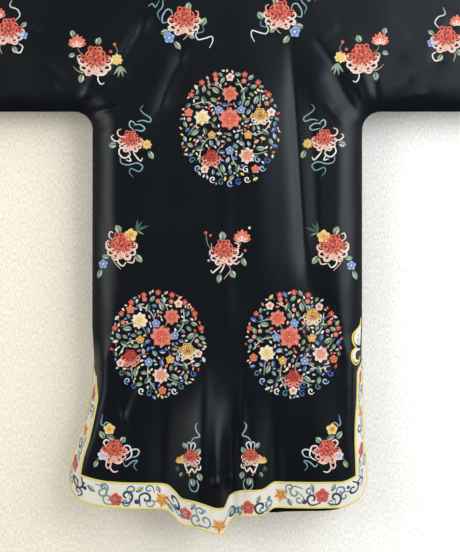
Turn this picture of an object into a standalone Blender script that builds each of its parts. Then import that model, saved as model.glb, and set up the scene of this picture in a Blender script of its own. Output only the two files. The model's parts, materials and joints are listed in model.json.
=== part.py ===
"""A long black satin robe with a bordered hem, hung by its sleeves on a wooden rod.

The origin is on the rod's axis, at the middle of the robe. +X runs along the rod, +Y goes
to the wall behind and +Z is up. The back of the robe faces -Y and its front faces +Y.

Each panel is a grid of points on the inside of the cloth. The cloth, the border band and
the piping are that same grid, moved out along its own directions.
"""

import math
from bisect import bisect_right
from collections import namedtuple

import bmesh
import bpy
from mathutils import Vector
from mathutils.bvhtree import BVHTree

# Cloth and trim, metres
CLOTH = 0.0018
BAND = 0.0010
PIPING = 0.0012
SEAM_GAP = 0.0003
BAND_WIDTH = 0.061
PIPING_WIDTH = 0.004

# Rod
ROD_RADIUS = 0.012
ROD_LENGTH = 1.46
ROD_SIDES = 24
FOLD_RADIUS = 0.0132

# Robe, across and down from the rod's axis
CHEST_HALF = 0.315
EXTENSION_SEAM = 0.423
CUFF = 0.660
SLEEVE_BOTTOM = 0.3285
ARMPIT_RADIUS = 0.045
SLIT_TOP = 0.845
NECK_HALF = 0.068
BACK_NECK_DROP = 0.010
FRONT_NECK_DROP = 0.068
NECK_FRONT_HALF = 0.057
NECK_ROW_STEP = 0.003
ARC_LENGTH = FOLD_RADIUS * math.pi / 2

# Collar
COLLAR_HEIGHT = 0.038
COLLAR_LEAN = 0.10
COLLAR_SPLIT = 0.0006

# Edges: how far the cloth rounds over to a seam
SEAM_ROUND = 0.060
EDGE_DEPTH = SEAM_GAP / 2

# Front overlap on the wearer's right
LAP_WIDTH = 0.018
LAP_LIFT = CLOTH + SEAM_GAP

# Knot buttons
KNOT_RADIUS = 0.0052
CORD_RADIUS = 0.0020
FROG_HALF = 0.030
FROG_CLEARANCE = 0.0008
FROG_SIDES = 8
KNOT_SHARE = 0.24
FROG_RINGS = (-1.0, -0.8, -0.6, -0.4, -0.22, -0.13, 0.0, 0.13, 0.22, 0.4, 0.6, 0.8, 1.0)

BACK = -1.0
FRONT = 1.0

Side = namedtuple("Side", "down left right")
SIDE_OUTLINE = (
    Side(down=0.38, left=0.3155, right=0.3145),
    Side(down=0.83, left=0.3160, right=0.3145),
    Side(down=0.914, left=0.3135, right=0.3150),
    Side(down=0.971, left=0.3157, right=0.3165),
    Side(down=1.034, left=0.3300, right=0.3180),
    Side(down=1.095, left=0.3470, right=0.3205),
    Side(down=1.150, left=0.3660, right=0.3255),
    Side(down=1.190, left=0.3725, right=0.3280),
)

Hem = namedtuple("Hem", "x back front")
HEM = (
    Hem(x=-0.373, back=1.207, front=1.192),
    Hem(x=-0.358, back=1.229, front=1.222),
    Hem(x=-0.331, back=1.242, front=1.243),
    Hem(x=-0.276, back=1.253, front=1.256),
    Hem(x=-0.160, back=1.258, front=1.264),
    Hem(x=-0.138, back=1.262, front=1.267),
    Hem(x=-0.121, back=1.275, front=1.268),
    Hem(x=-0.104, back=1.291, front=1.270),
    Hem(x=-0.076, back=1.295, front=1.272),
    Hem(x=-0.011, back=1.311, front=1.276),
    Hem(x=0.003, back=1.286, front=1.277),
    Hem(x=0.040, back=1.273, front=1.277),
    Hem(x=0.076, back=1.271, front=1.277),
    Hem(x=0.112, back=1.255, front=1.277),
    Hem(x=0.210, back=1.254, front=1.277),
    Hem(x=0.260, back=1.254, front=1.272),
    Hem(x=0.296, back=1.241, front=1.252),
    Hem(x=0.319, back=1.224, front=1.225),
    Hem(x=0.328, back=1.206, front=1.202),
)

Depth = namedtuple("Depth", "down body sleeve")
DEPTHS = (
    Depth(down=0.00, body=FOLD_RADIUS, sleeve=FOLD_RADIUS),
    Depth(down=0.10, body=0.017, sleeve=0.0165),
    Depth(down=0.25, body=0.024, sleeve=0.020),
    Depth(down=0.45, body=0.028, sleeve=0.020),
    Depth(down=0.85, body=0.029, sleeve=0.020),
    Depth(down=1.05, body=0.030, sleeve=0.020),
    Depth(down=1.33, body=0.034, sleeve=0.020),
)

Slit = namedtuple("Slit", "down back front")
SLIT_EDGE = (
    Slit(down=SLIT_TOP, back=EDGE_DEPTH, front=EDGE_DEPTH),
    Slit(down=0.90, back=-0.008, front=0.014),
    Slit(down=0.98, back=-0.022, front=0.033),
    Slit(down=1.30, back=-0.026, front=0.038),
)

# Width of the back's band that shows from behind, and how far its cloth rounds over there
Show = namedtuple("Show", "down left right round")
SLIT_SHOW = (
    Show(down=SLIT_TOP, left=0.0060, right=0.0140, round=0.060),
    Show(down=0.914, left=0.0070, right=0.0145, round=0.036),
    Show(down=0.971, left=0.0125, right=0.0170, round=0.036),
    Show(down=1.008, left=0.0225, right=0.0190, round=0.038),
    Show(down=1.055, left=0.0260, right=0.0235, round=0.040),
    Show(down=1.150, left=0.0310, right=0.0300, round=0.040),
    Show(down=1.190, left=0.0320, right=0.0320, round=0.040),
)
INNER_CORD_SHOW = 0.0034
INNER_CORD_SHARE = 0.45

# Folds run from one point to another and fade at both ends. A minus height is a trough.
Fold = namedtuple("Fold", "x1 down1 x2 down2 width height")
BACK_FOLDS = (
    Fold(x1=-0.050, down1=0.90, x2=-0.062, down2=1.60, width=0.045, height=0.024),
    Fold(x1=-0.022, down1=1.00, x2=-0.024, down2=1.60, width=0.016, height=0.013),
    Fold(x1=0.010, down1=0.95, x2=0.014, down2=1.60, width=0.016, height=-0.011),
    Fold(x1=0.060, down1=0.95, x2=0.066, down2=1.60, width=0.028, height=0.009),
    Fold(x1=0.110, down1=0.95, x2=0.118, down2=1.60, width=0.022, height=-0.009),
    Fold(x1=0.200, down1=0.85, x2=0.215, down2=1.60, width=0.045, height=0.006),
    Fold(x1=-0.140, down1=0.90, x2=-0.158, down2=1.60, width=0.026, height=-0.008),
    Fold(x1=-0.230, down1=0.95, x2=-0.245, down2=1.60, width=0.040, height=0.005),
    Fold(x1=0.155, down1=0.14, x2=0.195, down2=0.80, width=0.028, height=-0.009),
    Fold(x1=0.200, down1=0.72, x2=0.250, down2=0.95, width=0.024, height=-0.006),
    Fold(x1=0.070, down1=0.16, x2=0.075, down2=0.80, width=0.045, height=0.005),
    Fold(x1=-0.282, down1=0.30, x2=-0.175, down2=0.10, width=0.022, height=-0.006),
    Fold(x1=-0.180, down1=0.39, x2=-0.092, down2=0.16, width=0.022, height=-0.005),
    Fold(x1=0.300, down1=0.36, x2=0.235, down2=0.22, width=0.022, height=-0.006),
)
FRONT_FOLDS = (
    Fold(x1=0.030, down1=0.90, x2=0.040, down2=1.60, width=0.040, height=0.015),
    Fold(x1=0.105, down1=0.95, x2=0.115, down2=1.60, width=0.026, height=-0.009),
    Fold(x1=-0.060, down1=0.92, x2=-0.068, down2=1.60, width=0.030, height=-0.010),
    Fold(x1=-0.150, down1=0.88, x2=-0.160, down2=1.60, width=0.040, height=0.009),
    Fold(x1=0.190, down1=0.95, x2=0.205, down2=1.60, width=0.040, height=0.006),
    Fold(x1=-0.150, down1=0.20, x2=-0.185, down2=0.82, width=0.030, height=-0.008),
    Fold(x1=0.060, down1=0.30, x2=0.080, down2=0.85, width=0.040, height=-0.006),
    Fold(x1=0.265, down1=0.42, x2=0.150, down2=0.75, width=0.028, height=-0.006),
    Fold(x1=-0.285, down1=0.34, x2=-0.190, down2=0.14, width=0.024, height=-0.006),
)

# Columns, from the middle out: where they run at the shoulder and at the hem
Column = namedtuple("Column", "shoulder hem")
MIDDLE_COLUMNS = (
    Column(shoulder=-0.2100, hem=-0.225),
    Column(shoulder=-0.1550, hem=-0.168),
    Column(shoulder=-0.1050, hem=-0.142),
    Column(shoulder=-NECK_HALF, hem=-0.124),
    Column(shoulder=-0.0645, hem=-0.108),
    Column(shoulder=-0.0610, hem=-0.092),
    Column(shoulder=-NECK_FRONT_HALF, hem=-0.074),
    Column(shoulder=-0.0350, hem=-0.045),
    Column(shoulder=0.0, hem=-0.016),
    Column(shoulder=0.0350, hem=-0.004),
    Column(shoulder=NECK_FRONT_HALF, hem=0.010),
    Column(shoulder=0.0610, hem=0.035),
    Column(shoulder=0.0645, hem=0.062),
    Column(shoulder=NECK_HALF, hem=0.086),
    Column(shoulder=0.1050, hem=0.113),
    Column(shoulder=0.1550, hem=0.160),
    Column(shoulder=0.2100, hem=0.215),
)
EXTENSION_COLUMNS = (CUFF, 0.580, 0.500, EXTENSION_SEAM)
UPPER_SLEEVE_COLUMNS = (0.390, CHEST_HALF + ARMPIT_RADIUS, CHEST_HALF + ARMPIT_RADIUS / 2)

# Columns beside the side edge, as steps in from it: at a sewn side, at the slit of the back,
# as shares of what shows of its band, and at the slit of the front, which lies flat
EdgeStep = namedtuple("EdgeStep", "seam back_share front_slit")
EDGE_STEPS = (
    EdgeStep(seam=0.0, back_share=0.0, front_slit=0.0),
    EdgeStep(seam=0.008, back_share=0.044, front_slit=PIPING_WIDTH),
    EdgeStep(seam=0.024, back_share=0.36, front_slit=BAND_WIDTH / 2),
    EdgeStep(seam=0.044, back_share=None, front_slit=BAND_WIDTH - PIPING_WIDTH),
    EdgeStep(seam=0.061, back_share=1.0, front_slit=BAND_WIDTH),
)

# Rows, as lengths along the cloth from the top of the shoulder fold
SLEEVE_ROWS = tuple(ARC_LENGTH * third / 3 for third in range(4)) + (
    ARC_LENGTH + 0.045,
    ARC_LENGTH + 0.110,
    ARC_LENGTH + 0.180,
    ARC_LENGTH + 0.250,
    ARC_LENGTH + 0.295,
    ARC_LENGTH + SLEEVE_BOTTOM,
)
BODY_ROWS = (
    SLEEVE_BOTTOM + ARMPIT_RADIUS / 2,
    SLEEVE_BOTTOM + ARMPIT_RADIUS,
    0.45,
    0.54,
    0.63,
    0.72,
    0.79,
    SLIT_TOP,
)
SLIT_SHARES = (0.12, 0.27, 0.43, 0.61, 0.80)
HEM_STEPS = (BAND_WIDTH, BAND_WIDTH - PIPING_WIDTH, BAND_WIDTH / 2, PIPING_WIDTH, 0.0)

# The closing edge of the front, from the neck to the wearer's right armpit
Closing = namedtuple("Closing", "x down")
CLOSING_EDGE = (
    Closing(x=0.0, down=0.105),
    Closing(x=0.060, down=0.116),
    Closing(x=0.120, down=0.148),
    Closing(x=0.200, down=0.206),
    Closing(x=0.270, down=0.256),
    Closing(x=0.315, down=0.280),
)

Frog = namedtuple("Frog", "x down turn")
FROGS = (
    Frog(x=0.012, down=0.096, turn=8.0),
    Frog(x=0.125, down=0.142, turn=60.0),
    Frog(x=0.262, down=0.243, turn=55.0),
)

# Places in the grid
ROW_FOLD_END = 3
ROW_LAP = 5
ROW_CLOSING = 6
ROW_ARMPIT = len(SLEEVE_ROWS) - 1
ROW_SLIT = ROW_ARMPIT + len(BODY_ROWS)
ROW_BAND = ROW_SLIT + len(SLIT_SHARES) + 1
ROW_HEM = ROW_BAND + len(HEM_STEPS) - 1
COL_SEAM_LEFT = len(EXTENSION_COLUMNS) - 1
COL_SIDE_LEFT = COL_SEAM_LEFT + len(UPPER_SLEEVE_COLUMNS) + 1
COL_BAND_LEFT = COL_SIDE_LEFT + len(EDGE_STEPS) - 1
COL_MIDDLE = COL_BAND_LEFT + 1 + len(MIDDLE_COLUMNS) // 2
COL_LAST = COL_MIDDLE * 2
COL_BAND_RIGHT = COL_LAST - COL_BAND_LEFT
COL_SIDE_RIGHT = COL_LAST - COL_SIDE_LEFT
COL_SEAM_RIGHT = COL_LAST - COL_SEAM_LEFT
COL_NECK_LEFT = COL_MIDDLE - 5
COL_NECK_RIGHT = COL_MIDDLE + 5


def clear_scene():
    """Remove whatever the scene holds."""
    for item in list(bpy.data.objects):
        bpy.data.objects.remove(item, do_unlink=True)


def make_material(name, colour, roughness):
    """Make a plain finish with a colour and a roughness."""
    material = bpy.data.materials.new(name)
    material.use_nodes = True
    shader = material.node_tree.nodes["Principled BSDF"]
    shader.inputs["Base Color"].default_value = (*colour, 1.0)
    shader.inputs["Roughness"].default_value = roughness
    shader.inputs["Metallic"].default_value = 0.0
    material.diffuse_color = (*colour, 1.0)
    return material


def ease(low, high, value):
    """Rise smoothly from 0 at low to 1 at high."""
    share = min(1.0, max(0.0, (value - low) / (high - low)))
    return share * share * (3.0 - 2.0 * share)


def read_table(rows, place, field, at):
    """Read a field of a table at a place, on a curve that never overshoots its rows."""
    places = [getattr(row, place) for row in rows]
    values = [getattr(row, field) for row in rows]
    if at <= places[0]:
        return values[0]
    if at >= places[-1]:
        return values[-1]
    k = bisect_right(places, at) - 1
    steps = [b - a for a, b in zip(places, places[1:])]
    rises = [(b - a) / step for a, b, step in zip(values, values[1:], steps)]

    def slope(i):
        if i == 0 or i == len(places) - 1:
            return 0.0
        before, after = rises[i - 1], rises[i]
        if before * after <= 0.0:
            return 0.0
        return 2.0 * before * after / (before + after)

    u = (at - places[k]) / steps[k]
    start = values[k] * (1 + 2 * u) * (1 - u) ** 2 + steps[k] * slope(k) * u * (1 - u) ** 2
    end = values[k + 1] * u * u * (3 - 2 * u) + steps[k] * slope(k + 1) * u * u * (u - 1)
    return start + end


def side_at(down, x):
    """Half width of the robe at a height, on the side where x lies."""
    field = "left" if x < 0.0 else "right"
    if down < SIDE_OUTLINE[0].down:
        return CHEST_HALF
    return read_table(SIDE_OUTLINE, "down", field, down)


def neck_start(x, face):
    """Length along the cloth from the fold's top to the neck's edge."""
    if abs(x) >= NECK_HALF:
        return 0.0
    if face == BACK:
        return BACK_NECK_DROP * math.sqrt(1.0 - (x / NECK_HALF) ** 2)
    if abs(x) >= NECK_FRONT_HALF:
        return ARC_LENGTH * (NECK_HALF - abs(x)) / (NECK_HALF - NECK_FRONT_HALF)
    return ARC_LENGTH + FRONT_NECK_DROP * math.sqrt(1.0 - (x / NECK_FRONT_HALF) ** 2)


def edge_distance(x, down):
    """How far a point of the cloth lies from the side seam or the sleeve's lower seam."""
    half = side_at(down, x)
    corner_x = CHEST_HALF + ARMPIT_RADIUS
    corner_down = SLEEVE_BOTTOM + ARMPIT_RADIUS
    if down >= corner_down:
        return half - abs(x)
    if abs(x) >= corner_x:
        return SLEEVE_BOTTOM - down
    return math.hypot(corner_x - abs(x), corner_down - down) - ARMPIT_RADIUS


def fold_height(x, down, folds):
    """Sum of the folds at a point, outward."""
    total = 0.0
    for fold in folds:
        run_x = fold.x2 - fold.x1
        run_down = fold.down2 - fold.down1
        length = math.hypot(run_x, run_down)
        along = ((x - fold.x1) * run_x + (down - fold.down1) * run_down) / length
        away = ((x - fold.x1) * run_down - (down - fold.down1) * run_x) / length
        fade = ease(0.0, length * 0.35, along) * ease(0.0, length * 0.25, length - along)
        total += fold.height * fade * math.exp(-((away / fold.width) ** 2))
    return total


def depth_at(x, down, face):
    """Distance of the cloth's inside from the middle plane of the robe."""
    to_sleeve = ease(0.27, 0.40, abs(x))
    body = read_table(DEPTHS, "down", "body", down)
    sleeve = read_table(DEPTHS, "down", "sleeve", down)
    full = body + (sleeve - body) * to_sleeve
    edge = EDGE_DEPTH
    reach = SEAM_ROUND
    if down > SLIT_TOP:
        edge = read_table(SLIT_EDGE, "down", "back" if face == BACK else "front", down)
        if face == BACK:
            reach = read_table(SLIT_SHOW, "down", "round", down)
    near = min(1.0, max(0.0, edge_distance(x, down) / reach))
    rounding = 1.0 - (1.0 - near) ** 2
    folds = BACK_FOLDS if face == BACK else FRONT_FOLDS
    waves = fold_height(x, down, folds) * ease(0.0, 0.10, down)
    return edge + (full - edge + waves) * rounding


def sleeve_row_length(row, x, face):
    """Length along the cloth from the fold's top to a row above the armpit."""
    length = SLEEVE_ROWS[row]
    if face == FRONT and x > -NECK_HALF:
        closing = ARC_LENGTH + read_table(CLOSING_EDGE, "x", "down", x)
        share = ease(-NECK_HALF, 0.0, x) * (1.0 - ease(CHEST_HALF, EXTENSION_SEAM, x))
        places = [
            (ROW_FOLD_END, SLEEVE_ROWS[ROW_FOLD_END]),
            (ROW_LAP, closing - LAP_WIDTH),
            (ROW_CLOSING, closing),
            (ROW_ARMPIT, SLEEVE_ROWS[ROW_ARMPIT]),
        ]
        for (first, start), (last, end) in zip(places, places[1:]):
            if first <= row <= last:
                part = (length - SLEEVE_ROWS[first]) / (SLEEVE_ROWS[last] - SLEEVE_ROWS[first])
                moved = start + (end - start) * part
                return length + (moved - length) * share
    return length


def hem_down(column, face):
    """Drop of the hem below the rod where a column ends."""
    x = column_x(column, SIDE_OUTLINE[-1].down, face)
    return read_table(HEM, "x", "back" if face == BACK else "front", x)


def row_length(row, column, face):
    """Length along the cloth from the fold's top to a grid point."""
    if row <= ROW_ARMPIT:
        x = column_x(column, 0.0, face)
        start = neck_start(x, face)
        if start > 0.0:
            return max(sleeve_row_length(row, x, face), start + row * NECK_ROW_STEP)
        return sleeve_row_length(row, x, face)
    if row <= ROW_SLIT:
        return ARC_LENGTH + BODY_ROWS[row - ROW_ARMPIT - 1]
    hem = hem_down(column, face)
    if row >= ROW_BAND:
        return ARC_LENGTH + hem - HEM_STEPS[row - ROW_BAND]
    share = SLIT_SHARES[row - ROW_SLIT - 1]
    return ARC_LENGTH + SLIT_TOP + (hem - BAND_WIDTH - SLIT_TOP) * share


def back_slit_step(step, sign, down):
    """Step in from the back's slit edge to a column, as it shows from behind."""
    show = read_table(SLIT_SHOW, "down", "left" if sign < 0.0 else "right", down)
    if step.back_share is None:
        return show - min(INNER_CORD_SHOW, INNER_CORD_SHARE * show)
    return show * step.back_share


def column_x(column, down, face):
    """Place of a column across the robe, at a height."""
    if column >= COL_BAND_RIGHT:
        mirrored, sign = COL_LAST - column, 1.0
    else:
        mirrored, sign = column, -1.0
    if mirrored <= COL_SEAM_LEFT:
        return sign * EXTENSION_COLUMNS[mirrored]
    if mirrored < COL_SIDE_LEFT:
        return sign * UPPER_SLEEVE_COLUMNS[mirrored - COL_SEAM_LEFT - 1]
    if mirrored <= COL_BAND_LEFT:
        step = EDGE_STEPS[mirrored - COL_SIDE_LEFT]
        at_slit = back_slit_step(step, sign, down) if face == BACK else step.front_slit
        inward = step.seam + (at_slit - step.seam) * ease(SLIT_TOP - 0.06, 0.93, down)
        return sign * (side_at(down, sign) - inward)
    place = MIDDLE_COLUMNS[column - COL_BAND_LEFT - 1]
    return place.shoulder + (place.hem - place.shoulder) * ease(0.35, 1.15, down)


def round_armpit(x, down, column, row):
    """Move a point of the square armpit corner onto its rounded outline."""
    beside = abs(x) - CHEST_HALF
    below = down - SLEEVE_BOTTOM
    if row == ROW_ARMPIT and 0.0 <= beside <= ARMPIT_RADIUS + 1e-6:
        turn = math.radians(45.0) * (1.0 - beside / ARMPIT_RADIUS)
        along, outward = math.sin(turn), math.cos(turn)
    elif column in (COL_SIDE_LEFT, COL_SIDE_RIGHT) and 0.0 <= below <= ARMPIT_RADIUS + 1e-6:
        turn = math.radians(45.0) * (1.0 - below / ARMPIT_RADIUS)
        along, outward = math.cos(turn), math.sin(turn)
    else:
        return x, down
    new_x = CHEST_HALF + ARMPIT_RADIUS * (1.0 - along)
    new_down = SLEEVE_BOTTOM + ARMPIT_RADIUS * (1.0 - outward)
    return math.copysign(new_x, x), new_down


def in_robe(column, row):
    """Say whether a grid point lies in the robe's T shape."""
    return row <= ROW_ARMPIT or COL_SIDE_LEFT <= column <= COL_SIDE_RIGHT


def inside_point(column, row, face):
    """Point of a panel's inside surface."""
    length = row_length(row, column, face)
    x = column_x(column, max(length - ARC_LENGTH, 0.0), face)
    if length < ARC_LENGTH - 1e-9:
        turn = math.pi / 2 - length / FOLD_RADIUS
        y = max(FOLD_RADIUS * math.cos(turn), EDGE_DEPTH)
        return Vector((x, face * y, FOLD_RADIUS * math.sin(turn)))
    x, down = round_armpit(x, length - ARC_LENGTH, column, row)
    return Vector((x, face * depth_at(x, down, face), -down))


def rim_direction(point, column, row, face):
    """Outward direction where front and back meet at a seam, or None elsewhere."""
    corner = Vector((CHEST_HALF + ARMPIT_RADIUS, 0.0, -SLEEVE_BOTTOM - ARMPIT_RADIUS))
    corner.x = math.copysign(corner.x, point.x)
    at_side = column in (COL_SIDE_LEFT, COL_SIDE_RIGHT) and ROW_ARMPIT <= row <= ROW_SLIT
    at_sleeve = row == ROW_ARMPIT and not COL_SIDE_LEFT < column < COL_SIDE_RIGHT
    if at_side or at_sleeve:
        if abs(point.x) >= abs(corner.x) - 1e-6:
            return Vector((0.0, 0.0, -1.0))
        if point.z <= corner.z + 1e-6:
            return Vector((math.copysign(1.0, point.x), 0.0, 0.0))
        away = corner - point
        away.y = 0.0
        return away.normalized()
    if row <= ROW_FOLD_END and point.z > 0.0:
        return Vector((0.0, point.y, point.z)).normalized()
    return None


def build_grid(face):
    """Points and outward directions of one panel's grid, by column and row."""
    points = {}
    for column in range(COL_LAST + 1):
        for row in range(ROW_HEM + 1):
            if in_robe(column, row):
                points[column, row] = inside_point(column, row, face)
    sums = {key: Vector() for key in points}
    for (column, row), start in points.items():
        keys = cell_corners(column, row)
        if all(key in points for key in keys):
            across = points[keys[1]] - points[keys[3]]
            other = points[keys[2]] - points[keys[0]]
            normal = across.cross(other)
            if normal.y * face < 0.0 or (row < ROW_FOLD_END and normal.z < 0.0):
                normal.negate()
            for key in keys:
                sums[key] += normal
    directions = {}
    for key, point in points.items():
        rim = rim_direction(point, key[0], key[1], face)
        directions[key] = rim if rim else sums[key].normalized()
    return points, directions


def cell_corners(column, row):
    """Grid points round the cell that starts at a column and a row."""
    return [(column, row), (column + 1, row), (column + 1, row + 1), (column, row + 1)]


def make_object(name, mesh_data, material, smooth=False):
    """Turn a bmesh into a named object with one finish."""
    bmesh.ops.recalc_face_normals(mesh_data, faces=mesh_data.faces)
    mesh = bpy.data.meshes.new(name)
    mesh_data.to_mesh(mesh)
    mesh_data.free()
    if smooth:
        mesh.shade_smooth()
    mesh.materials.append(material)
    item = bpy.data.objects.new(name, mesh)
    bpy.context.scene.collection.objects.link(item)
    return item


def make_wall(name, cells, inner, outer, material):
    """Close a wall between an inner and an outer set of points over a set of cells."""
    wall = bmesh.new()
    layers = []
    for layer in (inner, outer):
        keys = sorted({key for cell in cells for key in cell})
        layers.append({key: wall.verts.new(layer[key]) for key in keys})
    edges = {}
    for cell in cells:
        for verts in layers:
            a, b, c, d = (verts[key] for key in cell)
            wall.faces.new((a, b, c))
            wall.faces.new((a, c, d))
        for k in range(4):
            pair = (cell[k], cell[(k + 1) % 4])
            edges.setdefault(frozenset(pair), []).append(pair)
    for uses in edges.values():
        if len(uses) == 1:
            first, second = sorted(uses[0])
            low, high = layers
            wall.faces.new((low[first], low[second], high[second]))
            wall.faces.new((low[first], high[second], high[first]))
    return make_object(name, wall, material, smooth=True)


def lifted(points, directions, offset):
    """Grid points moved out along their directions."""
    return {key: point + directions[key] * offset for key, point in points.items()}


def shifted(layer, moves):
    """Copy a layer of points with some of them moved to open a seam."""
    moved = {key: point.copy() for key, point in layer.items()}
    for key, move in moves.items():
        moved[key] += move
    return moved


def cell_block(columns, rows):
    """Cells of a block of the grid, given as two ranges."""
    return [cell_corners(column, row) for column in columns for row in rows]


def panel_layers(grid, moves, lifts=None):
    """Inner and outer points of a panel, with seam moves and lifted edges."""
    points, directions = grid
    lifts = lifts or {}
    inner = {}
    outer = {}
    for key, point in points.items():
        base = lifts.get(key, 0.0)
        inner[key] = point + directions[key] * base
        outer[key] = point + directions[key] * (base + CLOTH)
    return shifted(inner, moves), shifted(outer, moves)


def seam_moves():
    """Half of the seam's gap at both extension seams, toward the body."""
    half = Vector((SEAM_GAP / 2, 0.0, 0.0))
    moves = {}
    for row in range(ROW_ARMPIT + 1):
        moves[COL_SEAM_LEFT, row] = half
        moves[COL_SEAM_RIGHT, row] = -half
    return moves


def make_back(grid, material):
    """Back panel, cut in one with the upper sleeves."""
    cells = cell_block(range(COL_SEAM_LEFT, COL_SEAM_RIGHT), range(ROW_ARMPIT))
    cells += cell_block(range(COL_SIDE_LEFT, COL_SIDE_RIGHT), range(ROW_ARMPIT, ROW_HEM))
    inner, outer = panel_layers(grid, seam_moves())
    make_wall("back", cells, inner, outer, material)


def make_fronts(grid, material):
    """Wide front with its closing edge, and the narrow front that it laps over."""
    left_cells = cell_block(range(COL_SEAM_LEFT, COL_MIDDLE), range(ROW_ARMPIT))
    left_cells += cell_block(range(COL_MIDDLE, COL_SIDE_RIGHT), range(ROW_LAP, ROW_ARMPIT))
    left_cells += cell_block(range(COL_SIDE_LEFT, COL_SIDE_RIGHT), range(ROW_ARMPIT, ROW_HEM))
    lifts = {}
    for column in range(COL_MIDDLE, COL_SIDE_RIGHT + 1):
        lifts[column, ROW_LAP] = LAP_LIFT
        lifts[column, ROW_CLOSING] = LAP_LIFT
    left_moves = seam_moves()
    for row in range(ROW_LAP, ROW_ARMPIT):
        left_moves[COL_SIDE_RIGHT, row] = Vector((-SEAM_GAP / 2, 0.0, 0.0))
    diagonal = SEAM_GAP / 2 * math.sqrt(0.5)
    left_moves[COL_SIDE_RIGHT, ROW_ARMPIT] = Vector((-diagonal, 0.0, -diagonal))
    inner, outer = panel_layers(grid, left_moves, lifts)
    left = make_wall("front_left", left_cells, inner, outer, material)

    right_cells = cell_block(range(COL_MIDDLE, COL_SIDE_RIGHT), range(ROW_CLOSING))
    right_cells += cell_block(range(COL_SIDE_RIGHT, COL_SEAM_RIGHT), range(ROW_ARMPIT))
    right_moves = seam_moves()
    for row in range(ROW_CLOSING + 1):
        right_moves[COL_MIDDLE, row] = Vector((SEAM_GAP, 0.0, 0.0))
    for row in range(ROW_CLOSING + 1, ROW_ARMPIT):
        right_moves[COL_SIDE_RIGHT, row] = Vector((SEAM_GAP / 2, 0.0, 0.0))
    right_moves[COL_SIDE_RIGHT, ROW_ARMPIT] = Vector((diagonal, 0.0, diagonal))
    inner, outer = panel_layers(grid, right_moves)
    right = make_wall("front_right", right_cells, inner, outer, material)
    return left, right


def make_extension(name, columns, seam_column, seam_side, grids, material):
    """Sleeve extension, folded at the top and open along its lower seam."""
    inner = {}
    outer = {}
    for face, (points, directions) in grids.items():
        for column in columns:
            shift = SEAM_GAP / 2 * seam_side if column == seam_column else 0.0
            for row in range(ROW_ARMPIT + 1):
                key = (column, ROW_ARMPIT + int(face) * row)
                point = points[column, row] + Vector((shift, 0.0, 0.0))
                if row == 0:
                    point.y = 0.0
                    outward = Vector((0.0, 0.0, 1.0))
                else:
                    outward = directions[column, row]
                inner[key] = point
                outer[key] = point + outward * CLOTH
    cells = cell_block(columns[:-1], range(2 * ROW_ARMPIT))
    make_wall(name, cells, inner, outer, material)


def border_cells():
    """Cells of the border band: both slits and the hem."""
    cells = cell_block(range(COL_SIDE_LEFT, COL_BAND_LEFT), range(ROW_SLIT, ROW_HEM))
    cells += cell_block(range(COL_BAND_RIGHT, COL_SIDE_RIGHT), range(ROW_SLIT, ROW_HEM))
    cells += cell_block(range(COL_BAND_LEFT, COL_BAND_RIGHT), range(ROW_BAND, ROW_HEM))
    return cells


def piping_cells(inset):
    """Cells of one piping line: a single row round the border, at its edge or inset."""
    left = COL_SIDE_LEFT + (len(EDGE_STEPS) - 2) * inset
    right = COL_LAST - left - 1
    row = ROW_BAND if inset else ROW_HEM - 1
    cells = cell_block([left, right], range(ROW_SLIT, row))
    cells += cell_block(range(left, right + 1), [row])
    return cells


def make_border(side_name, grid, ribbon, cord):
    """Border band and its two lines of piping, lifted off a panel's outside."""
    points, directions = grid
    band_low = CLOTH + SEAM_GAP
    band_high = band_low + BAND
    cord_low = band_high + SEAM_GAP
    cord_high = cord_low + PIPING
    low = lifted(points, directions, band_low)
    high = lifted(points, directions, band_high)
    make_wall(f"border_{side_name}", border_cells(), low, high, ribbon)
    low = lifted(points, directions, cord_low)
    high = lifted(points, directions, cord_high)
    make_wall(f"piping_{side_name}_outer", piping_cells(inset=0), low, high, cord)
    make_wall(f"piping_{side_name}_inner", piping_cells(inset=1), low, high, cord)


def make_collar(grids, material):
    """Stand collar, set edge to edge on the neck and split at the middle of the front."""
    ring = []
    for column in range(COL_MIDDLE, COL_NECK_RIGHT + 1):
        ring.append((FRONT, column))
    for column in range(COL_NECK_RIGHT - 1, COL_NECK_LEFT, -1):
        ring.append((BACK, column))
    for column in range(COL_NECK_LEFT, COL_MIDDLE + 1):
        ring.append((FRONT, column))
    inner = {}
    outer = {}
    for place, (face, column) in enumerate(ring):
        points, directions = grids[face]
        point = points[column, 0].copy()
        outward = directions[column, 0].copy()
        point.z += CLOTH * max(0.0, outward.z) + SEAM_GAP
        if column in (COL_NECK_LEFT, COL_NECK_RIGHT):
            point.y = 0.0
            outward = Vector((math.copysign(1.0, point.x), 0.0, 0.0))
        else:
            outward.z = 0.0
            outward.normalize()
        if place == 0:
            point.x += COLLAR_SPLIT
        if place == len(ring) - 1:
            point.x -= COLLAR_SPLIT
        lean = Vector((-point.x * COLLAR_LEAN, 0.0, 0.0))
        for row in (0, 1):
            foot = point + (Vector((0.0, 0.0, COLLAR_HEIGHT)) + lean) * row
            inner[place, row] = foot
            outer[place, row] = foot + outward * CLOTH
    cells = cell_block(range(len(ring) - 1), [0])
    return make_wall("collar", cells, inner, outer, material)


def make_rod(material):
    """Wooden rod through both sleeves."""
    rod = bmesh.new()
    bmesh.ops.create_cone(
        rod,
        cap_ends=True,
        segments=ROD_SIDES,
        radius1=ROD_RADIUS,
        radius2=ROD_RADIUS,
        depth=ROD_LENGTH,
    )
    item = make_object("rod", rod, material, smooth=True)
    item.data.set_sharp_from_angle(angle=math.radians(40.0))
    item.rotation_euler = (0.0, math.radians(90.0), 0.0)


def surface_tree(items):
    """Search tree over the faces of some objects."""
    points = []
    faces = []
    for item in items:
        start = len(points)
        points += [vertex.co.copy() for vertex in item.data.vertices]
        faces += [[start + index for index in polygon.vertices] for polygon in item.data.polygons]
    return BVHTree.FromPolygons(points, faces)


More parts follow.
